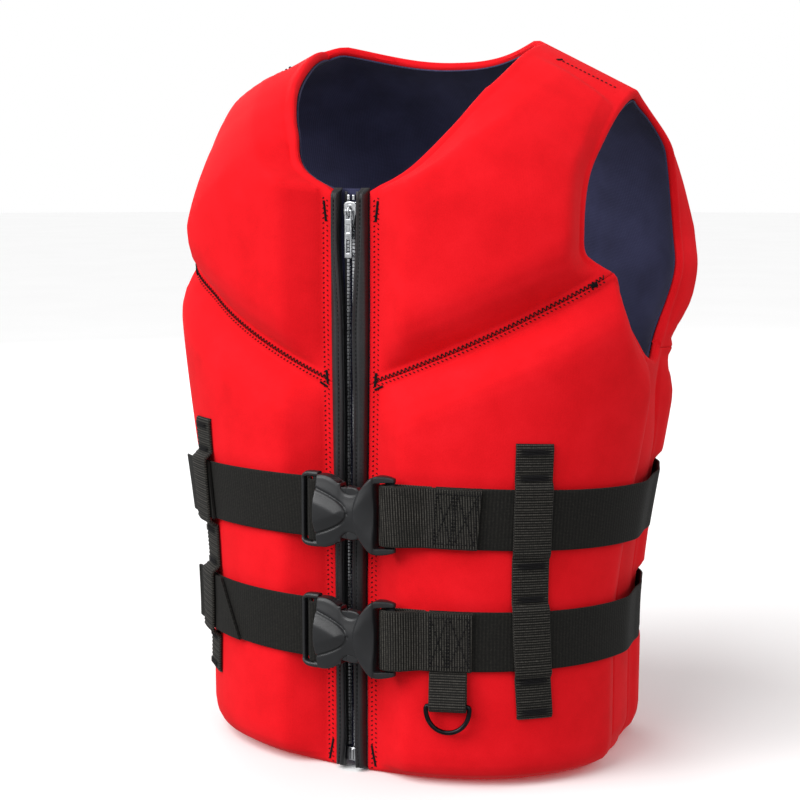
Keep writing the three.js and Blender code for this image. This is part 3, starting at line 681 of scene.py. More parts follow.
def lining_material():
    n = Nodes("navy_lining", 0.85, specular=0.15, sheen=0.08)
    knit = n.math("MULTIPLY", n.ripple(0, 1.3), n.ripple(1, 1.1))
    tone = n.math("ADD", n.math("MULTIPLY", n.noise(40.0, 3.0), 0.6),
                  n.math("MULTIPLY", knit, 0.4))
    n.colours(tone, [(0.2, (0.026, 0.027, 0.06)), (0.5, (0.042, 0.044, 0.1)),
                     (0.8, (0.06, 0.063, 0.138))])
    n.bump(knit, 0.12, 0.7)
    return n.material


def foam_material():
    n = Nodes("closed_cell_foam", 0.9, specular=0.3)
    cells = n.noise(1100.0, 3.0)
    n.colours(cells, [(0.3, (0.72, 0.7, 0.62)), (0.7, (0.9, 0.88, 0.82))])
    n.bump(cells, 0.3, 0.6)
    return n.material


def binding_material():
    n = Nodes("black_binding", 0.45, specular=0.5, sheen=0.04)
    grain = n.noise(900.0, 3.0)
    tone = n.math("ADD", n.math("MULTIPLY", n.noise(60.0), 0.6), n.math("MULTIPLY", grain, 0.4))
    n.colours(tone, [(0.3, (0.006, 0.006, 0.007)), (0.7, (0.016, 0.016, 0.018))])
    n.rough(grain, 0.36, 0.56)
    n.bump(n.ripple(1, 0.9), 0.05, 0.5, n.bump(grain, 0.1, 0.5))
    return n.material


def webbing_material(name, rib, thread, light, relief):
    """Woven webbing: ribs across the strap, threads along it, and pale flecks and rib bands painted
    in as highlights where fibres shine.
    """
    n = Nodes(name, 0.78, specular=0.2, sheen=0.03)
    ribs = n.ripple(0, rib)
    weave = n.math("MULTIPLY", n.ripple(0, thread), n.ripple(1, thread * 1.15))
    shine_fleck = n.noise(760.0, 3.0, 0.75)
    tone = n.math("ADD", n.math("MULTIPLY", weave, 0.25), n.math("MULTIPLY", shine_fleck, 0.75))
    tone = n.math("ADD", n.math("MULTIPLY", tone, 1 - relief), n.math("MULTIPLY", ribs, relief))
    # The palest stop, set by light, is a painted highlight on the flecks and rib bands.
    n.colours(tone, [(0.3, (0.003, 0.0028, 0.0024)), (0.5, (0.0085, 0.0078, 0.0064)),
                     (0.72, tuple(light * c for c in (1.0, 0.93, 0.8)))])
    n.rough(shine_fleck, 0.62, 0.88)
    n.bump(weave, 0.16, 0.7, n.bump(ribs, 0.12, 0.5))
    return n.material


def plastic_material():
    n = Nodes("moulded_plastic", 0.34, specular=0.5)
    grain = n.noise(2200.0, 2.0)
    tone = n.math("ADD", n.math("MULTIPLY", n.noise(90.0), 0.5), n.math("MULTIPLY", grain, 0.5))
    n.colours(tone, [(0.3, (0.007, 0.0073, 0.0083)), (0.7, (0.012, 0.0127, 0.0147))])
    n.rough(n.noise(300.0, 3.0), 0.36, 0.5)
    n.bump(grain, 0.03, 0.5)
    return n.material


def metal_material(name, dark, light, low, high):
    n = Nodes(name, 0.3, metallic=1.0)
    wear = n.noise(260.0, 4.0, 0.6)
    n.colours(wear, [(0.3, dark), (0.7, light)])
    n.rough(wear, low, high)
    n.bump(n.noise(1800.0), 0.02, 0.4)
    return n.material


def thread_material():
    n = Nodes("black_thread", 0.8, specular=0.15)
    twist = n.noise(2600.0, 2.0)
    n.colours(twist, [(0.3, (0.004, 0.004, 0.005)), (0.7, (0.014, 0.013, 0.014))])
    n.bump(twist, 0.08, 0.6)
    return n.material


RED = shell_material()
NAVY = lining_material()
FOAM = foam_material()
BINDING = binding_material()
# The fourth number sets each webbing's painted highlight colour on its flecks and ribs.
SMOOTH_WEBBING = webbing_material("smooth_webbing", 2.4, 0.85, 0.03, 0.12)
RIBBED_WEBBING = webbing_material("ribbed_webbing", 1.8, 1.1, 0.075, 0.38)
PLASTIC = plastic_material()
ZIP_METAL = metal_material("zip_metal", (0.42, 0.43, 0.45), (0.72, 0.73, 0.75), 0.22, 0.38)
RING_METAL = metal_material("ring_metal", (0.012, 0.012, 0.014), (0.03, 0.03, 0.034), 0.25, 0.4)
THREAD = thread_material()


# ---------------------------------------------------------------- shells, foam and lining
def turned_from_front(angle):
    """The angle from the front by the shorter way round, in degrees."""
    return np.abs(np.where(angle > 180, angle - 360, angle))


def belt_squeeze(angle):
    """How far the belts pull into the foam round the back, in mm."""
    return BACK_SQUEEZE * smoothstep(98, 112, turned_from_front(angle))


def squeeze_at(angle, v, rest=0.0):
    """How far the foam gives under the belts, in mm; rest is the give at the front."""
    near = sum(1 - smoothstep(-1, 8, np.abs(v - middle) - BELT_WIDTH / 2)
               for middle in BELTS.values())
    return np.maximum(rest, belt_squeeze(angle)) * near


def seam_bridge(angle, v):
    """How far the stretched shell stays above a seam's valley at the sides and back, in mm."""
    turned = turned_from_front(angle)
    seam_height = np.where(turned < UNDERARM, chest_seam(np.minimum(turned, 63)), BACK_SEAM_HEIGHT)
    side = np.where(turned < UNDERARM, SEAM_BRIDGE * smoothstep(44, 60, turned),
                    BACK_BRIDGE * smoothstep(104, 114, turned))
    flank = smoothstep(80, 88, turned) * (1 - smoothstep(104, 112, turned))
    flank = flank * smoothstep(0, 20, v) * (1 - smoothstep(215, 268, v))
    return side * np.exp(-((v - seam_height) / 13) ** 2) + SIDE_BRIDGE * flank


FREE_EDGE_RADIUS = 3.0
SEAM_EDGE_RADIUS = 0.9
LIP_DEPTH = 0.9
INSERT_CLEARANCE = 0.6


def shell_heights(panel, angle, v):
    """Heights of the shell's two faces over a grid, and the foam's thickness under it."""
    share, seam, free = foam_share(panel, angle, v)
    thickness = FOAM_THICKNESS * share + UNEVENNESS * unevenness(angle, v) * share
    thickness -= share * squeeze_at(angle, v, FRONT_SQUEEZE)
    bridge = seam_bridge(angle, v)
    swell = thickness + bridge * (1 - share)
    rolled = round_off(free, FREE_EDGE_RADIUS)
    high = SHELL_HIGH + swell - rolled - round_off(seam, SEAM_EDGE_RADIUS)
    lip = 1 - smoothstep(FREE_EDGE_RADIUS + 0.4, FREE_EDGE_RADIUS + 1.2, free)
    low = mix(SHELL_LOW + swell, rolled - LIP_DEPTH, lip)
    return low, np.maximum(high, low + 0.05), thickness


def declare_sheet(angle, v):
    """Works out the cut size, a panel's longest row and column, and does nothing with it."""
    size = [float(path_length(a, b).max()) / 1000 for a, b in ((angle, v), (angle.T, v.T))]


def make_panel(name, panel, sides):
    """A panel's neoprene cover and, except in the side gussets, the foam insert under it."""
    angle, v = panel_grid(panel)
    low, high, thickness = shell_heights(panel, angle, v)
    base, normal = torso_point(angle, v), torso_normal(angle, v)
    outer = base + normal * high[..., None]
    inner = base + normal * low[..., None]
    outer[..., 2] = np.maximum(outer[..., 2], 0.0)
    inner[..., 2] = np.maximum(inner[..., 2], 0.0)
    for side, place in sides:
        shell = sheet_object(f"{side}{name}_cover", place(inner), place(outer), RED)
        settle(shell, [f"{side}{name}_shell" if "gusset" not in name else f"{side}{name}"])
        declare_sheet(angle, v)
    if "gusset" in name:
        return
    filled = thickness > 0.02
    inside = np.ix_(filled.any(axis=1), filled.any(axis=0))
    a, w = angle[inside], v[inside]
    thick = np.maximum(thickness[inside] - INSERT_CLEARANCE, 0.1)
    pillow = layer_point(a, w, FOAM_BASE + thick)
    floor_face = layer_point(a, w, np.full(a.shape, FOAM_BASE))
    for side, place in sides:
        foam = sheet_object(f"{side}{name}_insert", place(floor_face), place(pillow), FOAM)
        settle(foam, [f"{side}{name}_foam"])


for panel_name, panel_shape in PANELS.items():
    make_panel(panel_name, panel_shape, SINGLE if panel_name.startswith("back") else PAIR)

LININGS = {
    "front_lining": dict(
        low=constant(1), high=ridge, start=front_start,
        end=lambda v: np.minimum(FRONT_ARM_EDGE(v), UNDERARM - SIDE_GAP)),
    "back_lining": dict(
        low=constant(1), high=back_top,
        start=lambda v: np.maximum(BACK_ARM_EDGE(v), UNDERARM + SIDE_GAP),
        end=lambda v: 360 - np.maximum(BACK_ARM_EDGE(v), UNDERARM + SIDE_GAP)),
}


LINING_DEPTH = 1.0
LINING_THICKNESS = 1.2


def make_lining(name, panel, sides):
    """A thin lining behind the foam, slightly uneven."""
    angle, v = panel_grid(panel, 4.5, 0.6)
    sag = 0.35 * unevenness(angle * 1.7, v * 1.6)
    inner = layer_point(angle, v, sag - LINING_DEPTH - LINING_THICKNESS)
    outer = layer_point(angle, v, np.minimum(sag, 0) - LINING_DEPTH)
    for side, place in sides:
        lining = sheet_object(f"{side}{name}_cloth", place(inner), place(outer), NAVY)
        settle(lining, [f"{side}{name}"])
        declare_sheet(angle, v)


for lining_name, lining_shape in LININGS.items():
    make_lining(lining_name, lining_shape, PAIR if lining_name.startswith("front") else SINGLE)


# ---------------------------------------------------------------- stitching
def stitch_parts(starts, ends, normals, radius=0.36, rise=0.2):
    """A short plump thread between each pair of points, sunk at both ends."""
    parts = []
    for a, b, normal in zip(starts, ends, normals):
        along = unit(b - a)
        side = unit(np.cross(along, normal))
        rings = []
        for t, width, lift in ((0, 0.45, -0.3), (0.2, 1, 0.7), (0.8, 1, 0.7), (1, 0.45, -0.3)):
            centre = mix(a, b, t) + normal * (rise + radius * lift)
            w = radius * width
            rings.append([centre + side * w, centre + normal * w, centre - side * w,
                          centre - normal * w])
        parts.append(loft(rings))
    return parts


def even_line(angle, v, height, pitch):
    """Points at an even pitch along a line on the vest, with their normals and side directions."""
    angle, v = np.broadcast_arrays(np.asarray(angle, float), np.asarray(v, float))
    points = layer_point(angle, v, height + seam_bridge(angle, v))
    travel = path_travel(points)
    stops = np.linspace(0, travel[-1], max(int(travel[-1] / pitch), 1) + 1)
    angle, v = np.interp(stops, travel, angle), np.interp(stops, travel, v)
    points = layer_point(angle, v, height + seam_bridge(angle, v))
    normals = torso_normal(angle, v)
    side = unit(np.cross(np.gradient(points, axis=0), normals))
    return points, normals, side


def zigzag(angle, v, pitch, reach):
    """A zigzag stitch: threads that run from side to side along a line."""
    points, normals, side = even_line(angle, v, SHELL_HIGH, pitch / 2)
    swing = np.where(np.arange(len(points)) % 2, 1.0, -1.0)[:, None] * reach
    corners = points + side * swing
    return stitch_parts(mix(corners[:-1], corners[1:], 0.06), mix(corners[:-1], corners[1:], 0.94),
                        normals[:-1])


def dashes(angle, v, pitch, length, slant=0.0, phase=0.0, height=SHELL_HIGH):
    """A row of separate stitches along a line, each turned by its slant."""
    points, normals, side = even_line(angle, v, height, pitch)
    along = unit(np.gradient(points, axis=0))
    centre = points + along * pitch * phase
    half = (along * math.cos(slant) + side * math.sin(slant)) * length / 2
    return stitch_parts(centre - half, centre + half, normals)


def bar_tack(angle, v, across, up, turned=0.0, height=SHELL_HIGH):
    """A dense block of thread that locks the end of a seam."""
    height = height + float(seam_bridge(angle, v))
    centre = layer_point(np.array([angle]), np.array([v]), np.array([height]))[0]
    normal = torso_normal(np.array([angle]), np.array([v]))[0]
    right = unit(np.cross(np.array([0.0, 0, 1]), normal))
    upward = np.cross(normal, right)
    long_way = upward * math.cos(turned) + right * math.sin(turned)
    wide_way = right * math.cos(turned) - upward * math.sin(turned)
    steps = np.linspace(-up / 2, up / 2, max(int(up / 0.62), 2))
    starts = [centre + long_way * s - wide_way * across / 2 for s in steps]
    ends = [centre + long_way * (s + 0.3) + wide_way * across / 2 for s in steps]
    return stitch_parts(starts, ends, [normal] * len(starts), 0.42)


def sew(name, parts, sides=PAIR):
    """One piece of thread on each side from many stitches."""
    points, faces = merge(parts)
    for side, place in sides:
        settle(make_object(f"{side}{name}", place(points), faces, THREAD))


def beside_zip(v, distance):
    """The angle at a distance out from the zip's edge."""
    return angle_at(torso_point(ZIP_EDGE, v)[..., 0] + distance, v)


SEAM_PITCH = 3.0
EDGE_PITCH = 3.3
TACK_ANGLE = 59.2
SHOULDER_START, SHOULDER_END = 36.0, 57.0


def seam_stitches(angle, height):
    """A zigzag above a seam and slanting dashes below it."""
    height = height + 0 * angle
    return (zigzag(angle, height + 1.5, SEAM_PITCH, 1.7)
            + dashes(angle, height - 2.0, SEAM_PITCH, 1.7, slant=0.8))


def shoulder_height(angle):
    return ridge(angle) - 24.5


zip_line = np.linspace(2.5, 388, 160)
sew("zip_edge_stitches",
    dashes(beside_zip(zip_line, 3.4), zip_line, EDGE_PITCH, 1.5, slant=0.9)
    + dashes(beside_zip(zip_line, 6.4), zip_line, EDGE_PITCH, 1.5, slant=-0.9, phase=0.5)
    + bar_tack(beside_zip(381.0, 5.2), 381.0, 1.8, 13, 0.12)
    + bar_tack(beside_zip(11.0, 4.6), 11.0, 1.6, 14, -0.2)
    + bar_tack(beside_zip(270.0, 4.6), 270.0, 2.0, 8, 0.1)
    + bar_tack(beside_zip(262.0, 7.0), 264.5, 1.6, 6, 1.1))
seam_line = np.linspace(4.6, 62.5, 200)
sew("chest_seam_stitches",
    seam_stitches(seam_line, chest_seam(seam_line))
    + bar_tack(TACK_ANGLE, chest_seam(TACK_ANGLE) + 0.3, 3.6, 4.5, 1.2))
sew("back_seam_stitches", seam_stitches(np.linspace(118, 242, 300), BACK_SEAM_HEIGHT), SINGLE)
shoulder_line = np.linspace(SHOULDER_START, SHOULDER_END, 60)
sew("shoulder_seam_stitches",
    dashes(shoulder_line, shoulder_height(shoulder_line), 3.2, 1.9)
    + bar_tack(SHOULDER_START, shoulder_height(SHOULDER_START), 1.6, 4.0, 1.5))


# ---------------------------------------------------------------- zip
def forward(height):
    """The y of a place in front of the torso form at the zip."""
    return -(FRONT_DEPTH + height)


def binding_gap(z):
    """Half the gap between the bound edges, wider at both ends of the zip."""
    return 3.1 + 3.4 * smoothstep(300, 372, z) + 1.2 * (1 - smoothstep(0, 24, z))


def binding_shift(z):
    """How far one bound edge stands back from the other's path: the slot wanders a little."""
    return 0.7 + 0.5 * np.sin(z * 0.031 + 0.5) + 0.2 * np.sin(z * 0.083)


def binding_loops(side):
    """Outlines of one bound edge, on the left as built."""
    loops = []
    for z in np.concatenate([[1.0, 1.25, 1.8, 2.8], np.linspace(4, 392, 150),
                             [393.8, 395.2, 396.1, 396.5]]):
        end = 1 - 0.55 * (1 - smoothstep(1, 3, z)) - 0.75 * smoothstep(392.5, 396.6, z)
        inner = binding_gap(z) + (binding_shift(z) if side > 0 else 1.4 - binding_shift(z))
        outer = torso_point(BINDING_EDGE, z)[..., 0] - 0.1
        middle = inner + 2.9
        crown = 12.2 + 0.3 * math.sin(z * 0.083 + 0.7)
        foot = max(5.6, inner + 0.8)
        section = [(outer, 2.4), (outer, 7.6), (outer - 0.6, 9.7), (mix(outer, middle, 0.5), 11.3),
                   (middle + 1.2, 11.6), (middle, 10.7), (middle - 0.9, 11.7), (inner + 1.2, crown),
                   (inner - 0.1, 11.0), (inner - 0.1, 8.7), (inner + 0.6, 7.7), (foot, 7.4),
                   (foot, 2.4)]
        ring = corner_cut(section, 2)
        ring[:, 1] = 2.4 + (ring[:, 1] - 2.4) * end
        loops.append([(x, forward(height), z) for x, height in ring])
    return loops


def make_bindings():
    for name, side in (("left_", 1), ("right_", -1)):
        loops = binding_loops(side)
        points, faces = loft(loops)
        uv = np.stack([np.arange(len(points)) % len(loops[0]) * 0.8, points[:, 2]], -1)
        band = make_object(f"{name}zip_bound_edge", points * (side, 1, 1), faces, BINDING, uv, 60)
        settle(band, [f"{name}zip_binding"])
    z = np.arange(5, 390, 2.9)
    x = binding_gap(z) + 3.6
    spots = np.stack([x, forward(10.95) + 0 * z, z], -1)
    half = np.array([0, 0, 0.95])
    sew("zip_bound_edge_stitches",
        stitch_parts(spots - half, spots + half, [np.array([0, -1.0, 0])] * len(z), 0.27, 0.1))


make_bindings()


TOOTH_PITCH = 2.4
TOOTH_MIDDLE = 4.2
TOOTH_STAGGER = 1.08
TOOTH_OUTLINE = [(0.78, 3.3), (1.0, 3.0), (1.9, 3.15), (3.0, 3.0), (3.0, 5.4), (1.9, 5.2),
                 (1.0, 5.4), (0.78, 5.1)]


def tooth(z):
    """One tooth at a height, slightly smaller at its two flat ends."""
    loops = [[(x, forward(mix(depth, TOOTH_MIDDLE, shrink)), z + lift) for x, depth in TOOTH_OUTLINE]
             for lift, shrink in ((-0.95, 0.12), (-0.8, 0), (0.8, 0), (0.95, 0.12))]
    return loft(loops)


def make_teeth():
    points, faces = merge([tooth(z) for z in np.arange(16.2, 387.2, TOOTH_PITCH)])
    for side, place in PAIR:
        lift = 0 if place is as_built else TOOTH_STAGGER
        row = make_object(f"{side}zip_tooth_row", place(points) + (0, 0, lift), faces, ZIP_METAL,
                          sharp=35)
        settle(row, [f"{side}zip_teeth"])


def upright_grid(x, z, depth):
    """Points over a grid of x and z in front of the torso form."""
    wide, tall, depth = np.broadcast_arrays(x[None, :], z[:, None], depth)
    return np.stack([wide, forward(depth), tall], -1)


def make_tapes():
    x, z = np.linspace(3.3, 5.25, 6), np.linspace(15, 394, 190)
    ripple = 0.09 * np.sin(z * 2.1)[:, None]
    low, high = upright_grid(x, z, 3.65), upright_grid(x, z, 4.3 + ripple)
    for side, place in PAIR:
        tape = sheet_object(f"{side}zip_cloth_tape", place(low), place(high), BINDING)
        settle(tape, [f"{side}zip_tape"])


FLAP_WIDTH = 21.6
FLAP_LOW, FLAP_HIGH = 3.2, 396.0


def make_flap():
    x, z = np.linspace(-FLAP_WIDTH / 2, FLAP_WIDTH / 2, 16), np.linspace(FLAP_LOW, FLAP_HIGH, 150)
    bow = 0.12 * np.sin(z * 0.05)[:, None] * np.cos(x * 0.2)[None, :]
    flap = sheet_object("zip_guard_flap", upright_grid(x, z, 0.25 + bow),
                        upright_grid(x, z, 1.1 + bow), NAVY)
    settle(flap, ["zip_flap"])


def make_zip_ends():
    depth = (forward(5.5), forward(2.9))
    for side, sign in (("left_", 1), ("right_", -1)):
        block = box_part(sorted((sign * 0.85, sign * 2.95)), depth, (388.5, 391.9))
        stop = fused(f"{side}zip_end_stop", [block], 0.22, ZIP_METAL)
        settle(stop, [f"{side}zip_top_stop"])
    box = [box_part((-4.5, 4.5), (forward(5.9), forward(2.5)), (5.1, 14.4)),
           box_part((-0.9, 0.9), (forward(6.6), forward(2.5)), (6.0, 13.4))]
    settle(fused("zip_retainer_box", box, 0.3, ZIP_METAL), ["zip_bottom_box"])


make_teeth()
make_tapes()
make_flap()
make_zip_ends()

SLIDER_TOP = 387.4
SLIDER_LENGTH = 16.0
PULL_AXIS = (8.7, 381.4)


def make_slider():
    low, high = SLIDER_TOP - SLIDER_LENGTH, SLIDER_TOP
    parts = []
    for back, front in ((1.7, 3.0), (5.0, 7.0)):
        outline = [(-3.0, low), (3.0, low), (3.6, low + 5), (4.7, low + 9), (4.7, high - 1.5),
                   (2.6, high), (-2.6, high), (-4.7, high - 1.5), (-4.7, low + 9), (-3.6, low + 5)]
        ring = corner_cut(outline, 2)
        parts.append(loft([[(x, forward(h), z) for x, z in ring] for h in (back, front)]))
    for side in (-1, 1):
        wall = sorted((side * 3.7, side * 4.7))
        parts.append(box_part(wall, (forward(6.8), forward(4.9)), (low + 7.5, high - 1.5)))
        parts.append(box_part(wall, (forward(3.2), forward(1.8)), (low + 7.5, high - 1.5)))
    parts.append(box_part((-0.5, 0.5), (forward(6), forward(2)), (high - 5, high - 1)))
    depth, middle = PULL_AXIS
    arch = np.linspace(0, math.pi, 15)
    path = [(0.0, forward(6.2 + 3.3 * math.sin(t)), middle - 0.2 + 3.4 * math.cos(t)) for t in arch]
    points, faces = wire(path, 0.75, 10)
    points[:, 0] *= 1.35
    parts.append((points, faces))
    slider = fused("zip_slider_body", parts, 0.24, ZIP_METAL, 1)
    settle(slider, ["zip_slider"], "zip_slider")

    half, thick = 2.6, (-0.6, 0.6)
    bars = [box_part((-half, half), thick, thick)]
    for inner, span in ((1.5, (-6.5, 0.6)), (1.35, (-31, -5.6))):
        bars += [box_part(sorted((s * inner, s * half)), thick, span) for s in (-1, 1)]
    bars += [box_part((-half, half), thick, span)
             for span in ((-9.0, -5.6), (-18.6, -14.6), (-31, -28.0))]
    bars.append(box_part((-2.4, 2.4), (-0.35, 0.35), (-16, -6)))
    offset = np.array([0.0, forward(depth), middle])
    pull = fused("zip_pull_tab", moved(bars, offset), 0.2, ZIP_METAL, 1)
    settle(pull, ["zip_pull"], "zip_pull")


# ---------------------------------------------------------------- belts and keepers
ACROSS = np.array([-1, -0.985, -0.95, -0.88, -0.6, -0.2, 0.2, 0.6, 0.88, 0.95, 0.985, 1.0])
THIN = np.array([0.3, 0.78, 1, 1, 1, 1, 1, 1, 1, 1, 0.78, 0.3])


def belt_height(angle):
    """The height of a belt's underside, which dips under the arms and presses in at the back."""
    beyond = turned_from_front(angle) - UNDERARM
    dip = 1 - np.where(beyond < 0, smoothstep(2, 14, -beyond), smoothstep(4, 20, beyond))
    return BELT_LOW - SIDE_DIP * dip - belt_squeeze(angle)


def smooth_rows(rows, step):
    """Rows of stops, as (across, along, xyz), made smooth and even along their length."""
    middle = rows[len(rows) // 2]
    t = running(np.sqrt(np.linalg.norm(np.diff(middle, axis=0), axis=1)))
    slopes = np.gradient(rows, t, axis=1)
    fine = np.linspace(0, t[-1], 30 * len(t))
    i = np.clip(np.searchsorted(t, fine, side="right") - 1, 0, len(t) - 2)
    span = (t[i + 1] - t[i])[None, :, None]
    s = ((fine - t[i]) / (t[i + 1] - t[i]))[None, :, None]
    curve = (rows[:, i] * (1 + 2 * s) * (1 - s) ** 2 + slopes[:, i] * span * s * (1 - s) ** 2
             + rows[:, i + 1] * s * s * (3 - 2 * s) + slopes[:, i + 1] * span * s * s * (s - 1))
    travel = path_travel(curve[len(rows) // 2])
    stops = np.linspace(0, travel[-1], max(int(travel[-1] / step), 4) + 1)
    place = np.interp(stops, travel, np.arange(len(travel)))
    whole = np.minimum(place.astype(int), len(travel) - 2)
    part = (place - whole)[None, :, None]
    return curve[:, whole] * (1 - part) + curve[:, whole + 1] * part


def ribbon(name, rows, material, rib=0.0, period=1.8, thickness=WEBBING, flip=False):
    """Flat webbing along rows of middle points, with thin edges and ribs on its outer face."""
    along, up = np.gradient(rows, axis=1), np.gradient(rows, axis=0)
    normal = unit(np.cross(along, up)) * (-1 if flip else 1)
    travel = path_travel(rows[len(rows) // 2])
    half = (thickness / 2 * THIN)[:, None]
    relief = rib * (0.5 + 0.5 * np.cos(2 * math.pi * travel / period))[None, :]
    relief = relief * (THIN > 0.9)[:, None]
    low, high = rows - normal * half[..., None], rows + normal * (half + relief)[..., None]
    return sheet_object(name, low, high, material)


def strap_rows(stops, middle, width=BELT_WIDTH, step=2.0):
    """Rows for a strap: a stop is (angle, layers[, extra height[, skew]]) or a free (x, depth)."""
    rows = []
    for edge in ACROSS:
        line = []
        for stop in stops:
            if stop[0] == "free":
                line.append(np.array([stop[1], -BUCKLE_BACK - stop[2], middle + edge * width / 2]))
                continue
            angle, layers, extra, skew = (tuple(stop) + (0.0, 0.0, 0.0))[:4]
            turned = np.array([angle + skew * (1 + edge) / 2])
            height = belt_height(turned) + layers * LAYER_RISE + extra + WEBBING / 2
            line.append(layer_point(turned, np.array([middle + edge * width / 2]), height)[0])
        rows.append(line)
    return smooth_rows(np.array(rows), step)


def wrap(start, end, steps, layers=0.0):
    """Even stops for a strap between two angles."""
    return [(angle, layers) for angle in np.linspace(start, end, steps + 1)]


def crossed_box(low, high, middle, height):
    """The stitches of a box with a cross in it, between two angles on a belt."""
    line = np.linspace(low, high, 30)
    rise = np.linspace(-16.5, 16.5, 30)
    paths = []
    for edge in (-1, 1):
        paths += [(line, np.full(30, middle + edge * rise[-1])), (line, middle + edge * rise)]
    paths += [(np.full(30, angle), middle + rise) for angle in (low, high)]
    return sum((dashes(*path, 2.3, 1.7, height=height) for path in paths), [])


def make_belts():
    for level, middle in BELTS.items():
        body = ribbon(f"{level}_belt_webbing", strap_rows(wrap(22, 311.5, 110), middle, step=2.6),
                      SMOOTH_WEBBING)
        settle(body, [f"{level}_belt"])

        path = wrap(-48, -12, 14) + [("free", x, depth) for x, depth in (
            (-20.6, -1.4), (-18.6, 0.2), (-17.4, 2.8), (-16.8, 5.6), (-15.4, 7.7), (-12.6, 8.2),
            (-9.9, 7.9))]
        strap = ribbon(f"{level}_adjusting_webbing", strap_rows(path, middle, step=1.0),
                       SMOOTH_WEBBING)
        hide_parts(f"{level}_adjust_strap")
        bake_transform(strap)

        path = wrap(21, 16, 2) + [("free", x, depth) for x, depth in (
            (40, -1.3), (36.7, 1.2), (36.4, 4.4), (38.8, 6.4), (48, 5.4))] + wrap(20, 33, 6, 1.0)
        loop = ribbon(f"{level}_loop_webbing", strap_rows(path, middle, 40.6, 0.3),
                      RIBBED_WEBBING, 0.28, 1.75)
        settle(loop, [f"{level}_buckle_loop"])
        top = BELT_LOW + LAYER_RISE + WEBBING + 0.1
        sew(f"{level}_loop_stitches", crossed_box(22.5, 26.6, middle, top)
            + crossed_box(27.2, 32.2, middle, top), SINGLE)


def make_tails():
    """The loose strap ends, which flare out from the belts; the lower one also runs askew."""
    upper = [(-62.0, 1.0, 3.2), (-60, 1.0, 2.3), (-58, 1.0, 1.4), (-56, 1.0, 0.6), (-54, 1.0, 0.1)]
    upper += wrap(-52, -41, 5, 1.0)
    lower = [(-62.0, 1.0, 4.6, 1.5), (-60, 1.0, 3.1), (-58, 1.0, 1.7), (-56, 1.0, 0.8),
             (-54, 1.0, 0.2)]
    lower += [(angle, 1.0, 0.0, -9.5 * (angle + 52) / 22) for angle in np.linspace(-52, -30, 9)]
    for level, path in (("upper", upper), ("lower", lower)):
        rows = strap_rows(path, BELTS[level], step=1.5)
        tail = ribbon(f"{level}_tail_webbing", rows, SMOOTH_WEBBING)
        settle(tail, [f"{level}_strap_tail"])


def keeper_edge(side, v):
    """The angle of a keeper's edge, or of a line between its edges, at height v."""
    share = (v - KEEPER_LOW) / (KEEPER_HIGH - KEEPER_LOW)
    middle = mix(KEEPER_BOTTOM_ANGLE, KEEPER_TOP_ANGLE, share)
    height = np.full(np.shape(v), BELT_LOW)
    reach = layer_point(middle + 0.5, v, height) - layer_point(middle - 0.5, v, height)
    return middle + side * KEEPER_WIDTH / 2 / np.linalg.norm(reach, axis=-1)


def make_keepers():
    v = np.arange(KEEPER_LOW, KEEPER_HIGH + 0.01, 0.5)
    sides = {"left_front": (lambda a: a, 1, True), "right_front": (lambda a: -a, 2, False),
             "left_back": (lambda a: 180 - a, 1, False), "right_back": (lambda a: 180 + a, 1, True)}
    for name, (turn, layers, flip) in sides.items():
        lift = np.zeros(len(v))
        for middle in BELTS.values():
            beyond = np.abs(v - middle) - BELT_WIDTH / 2
            lift += LAYER_RISE * layers * (1 - smoothstep(0.8, 6.5, beyond))
        tuck = 1.2 * (1 - smoothstep(0, 3, np.minimum(v - KEEPER_LOW, KEEPER_HIGH - v)))
        rows = []
        for edge in ACROSS:
            angle = turn(keeper_edge(edge, v))
            height = belt_height(angle) + lift - 0.5 * (lift < 0.5) - tuck + WEBBING / 2
            height = height + belt_squeeze(angle) - squeeze_at(angle, v)
            rows.append(layer_point(angle, v, height))
        strip = ribbon(f"{name}_keeper_webbing", np.array(rows), RIBBED_WEBBING, 0.42, 2.9,
                       flip=flip)
        settle(strip, [f"{name}_keeper"])
        tacks = []
        for height_at in (KEEPER_LOW + 5, 74, 131, 154, 213, KEEPER_HIGH - 5):
            spot = float(turn(keeper_edge(0, np.array([height_at])))[0])
            tacks += bar_tack(spot, height_at, 19, 3.0, height=BELT_LOW + WEBBING + 0.2)
        sew(f"{name}_keeper_tacks", tacks, SINGLE)


make_slider()
make_belts()
make_tails()
make_keepers()


# ---------------------------------------------------------------- buckles
SOCKET_EDGE = smooth_table([(-9, 24.3), (-4, 24.4), (0, 23.6), (4, 21.9), (7.5, 19.2), (10, 15.8),
                            (13, 13.5), (18, 13.2), (22, 15), (26, 18.8), (29, 22.3), (32, 25),
                            (35, 26.1), (41, 26), (46.5, 24.6)])


def slab(x, z, low, high):
    """A closed slab over grids of x and z between two depths in front of the buckle's back."""
    back, front = (np.stack([x, -BUCKLE_BACK - depth, z], -1) for depth in (low, high))
    return between(back, front)


def outline_grid(x0, x1, steps, t0=-1.0, t1=1.0, inner=None):
    """A grid over the socket's outline, or over one rail between inner and the outline."""
    x = np.linspace(x0, x1, steps)[:, None]
    t = np.linspace(t0, t1, 61)[None, :]
    edge = SOCKET_EDGE(x)
    z = t * edge if inner is None else np.sign(t0 + t1) * mix(inner, edge, np.abs(t))
    x, z = np.broadcast_arrays(x, z)
    return x.copy(), z.copy()


SOCKET_START = -9.0
SOCKET_BODY_END = 34.2
SOCKET_END = 46.2
DOME_TIP = 14.6
DOME_HALF_WIDTH = 15.2


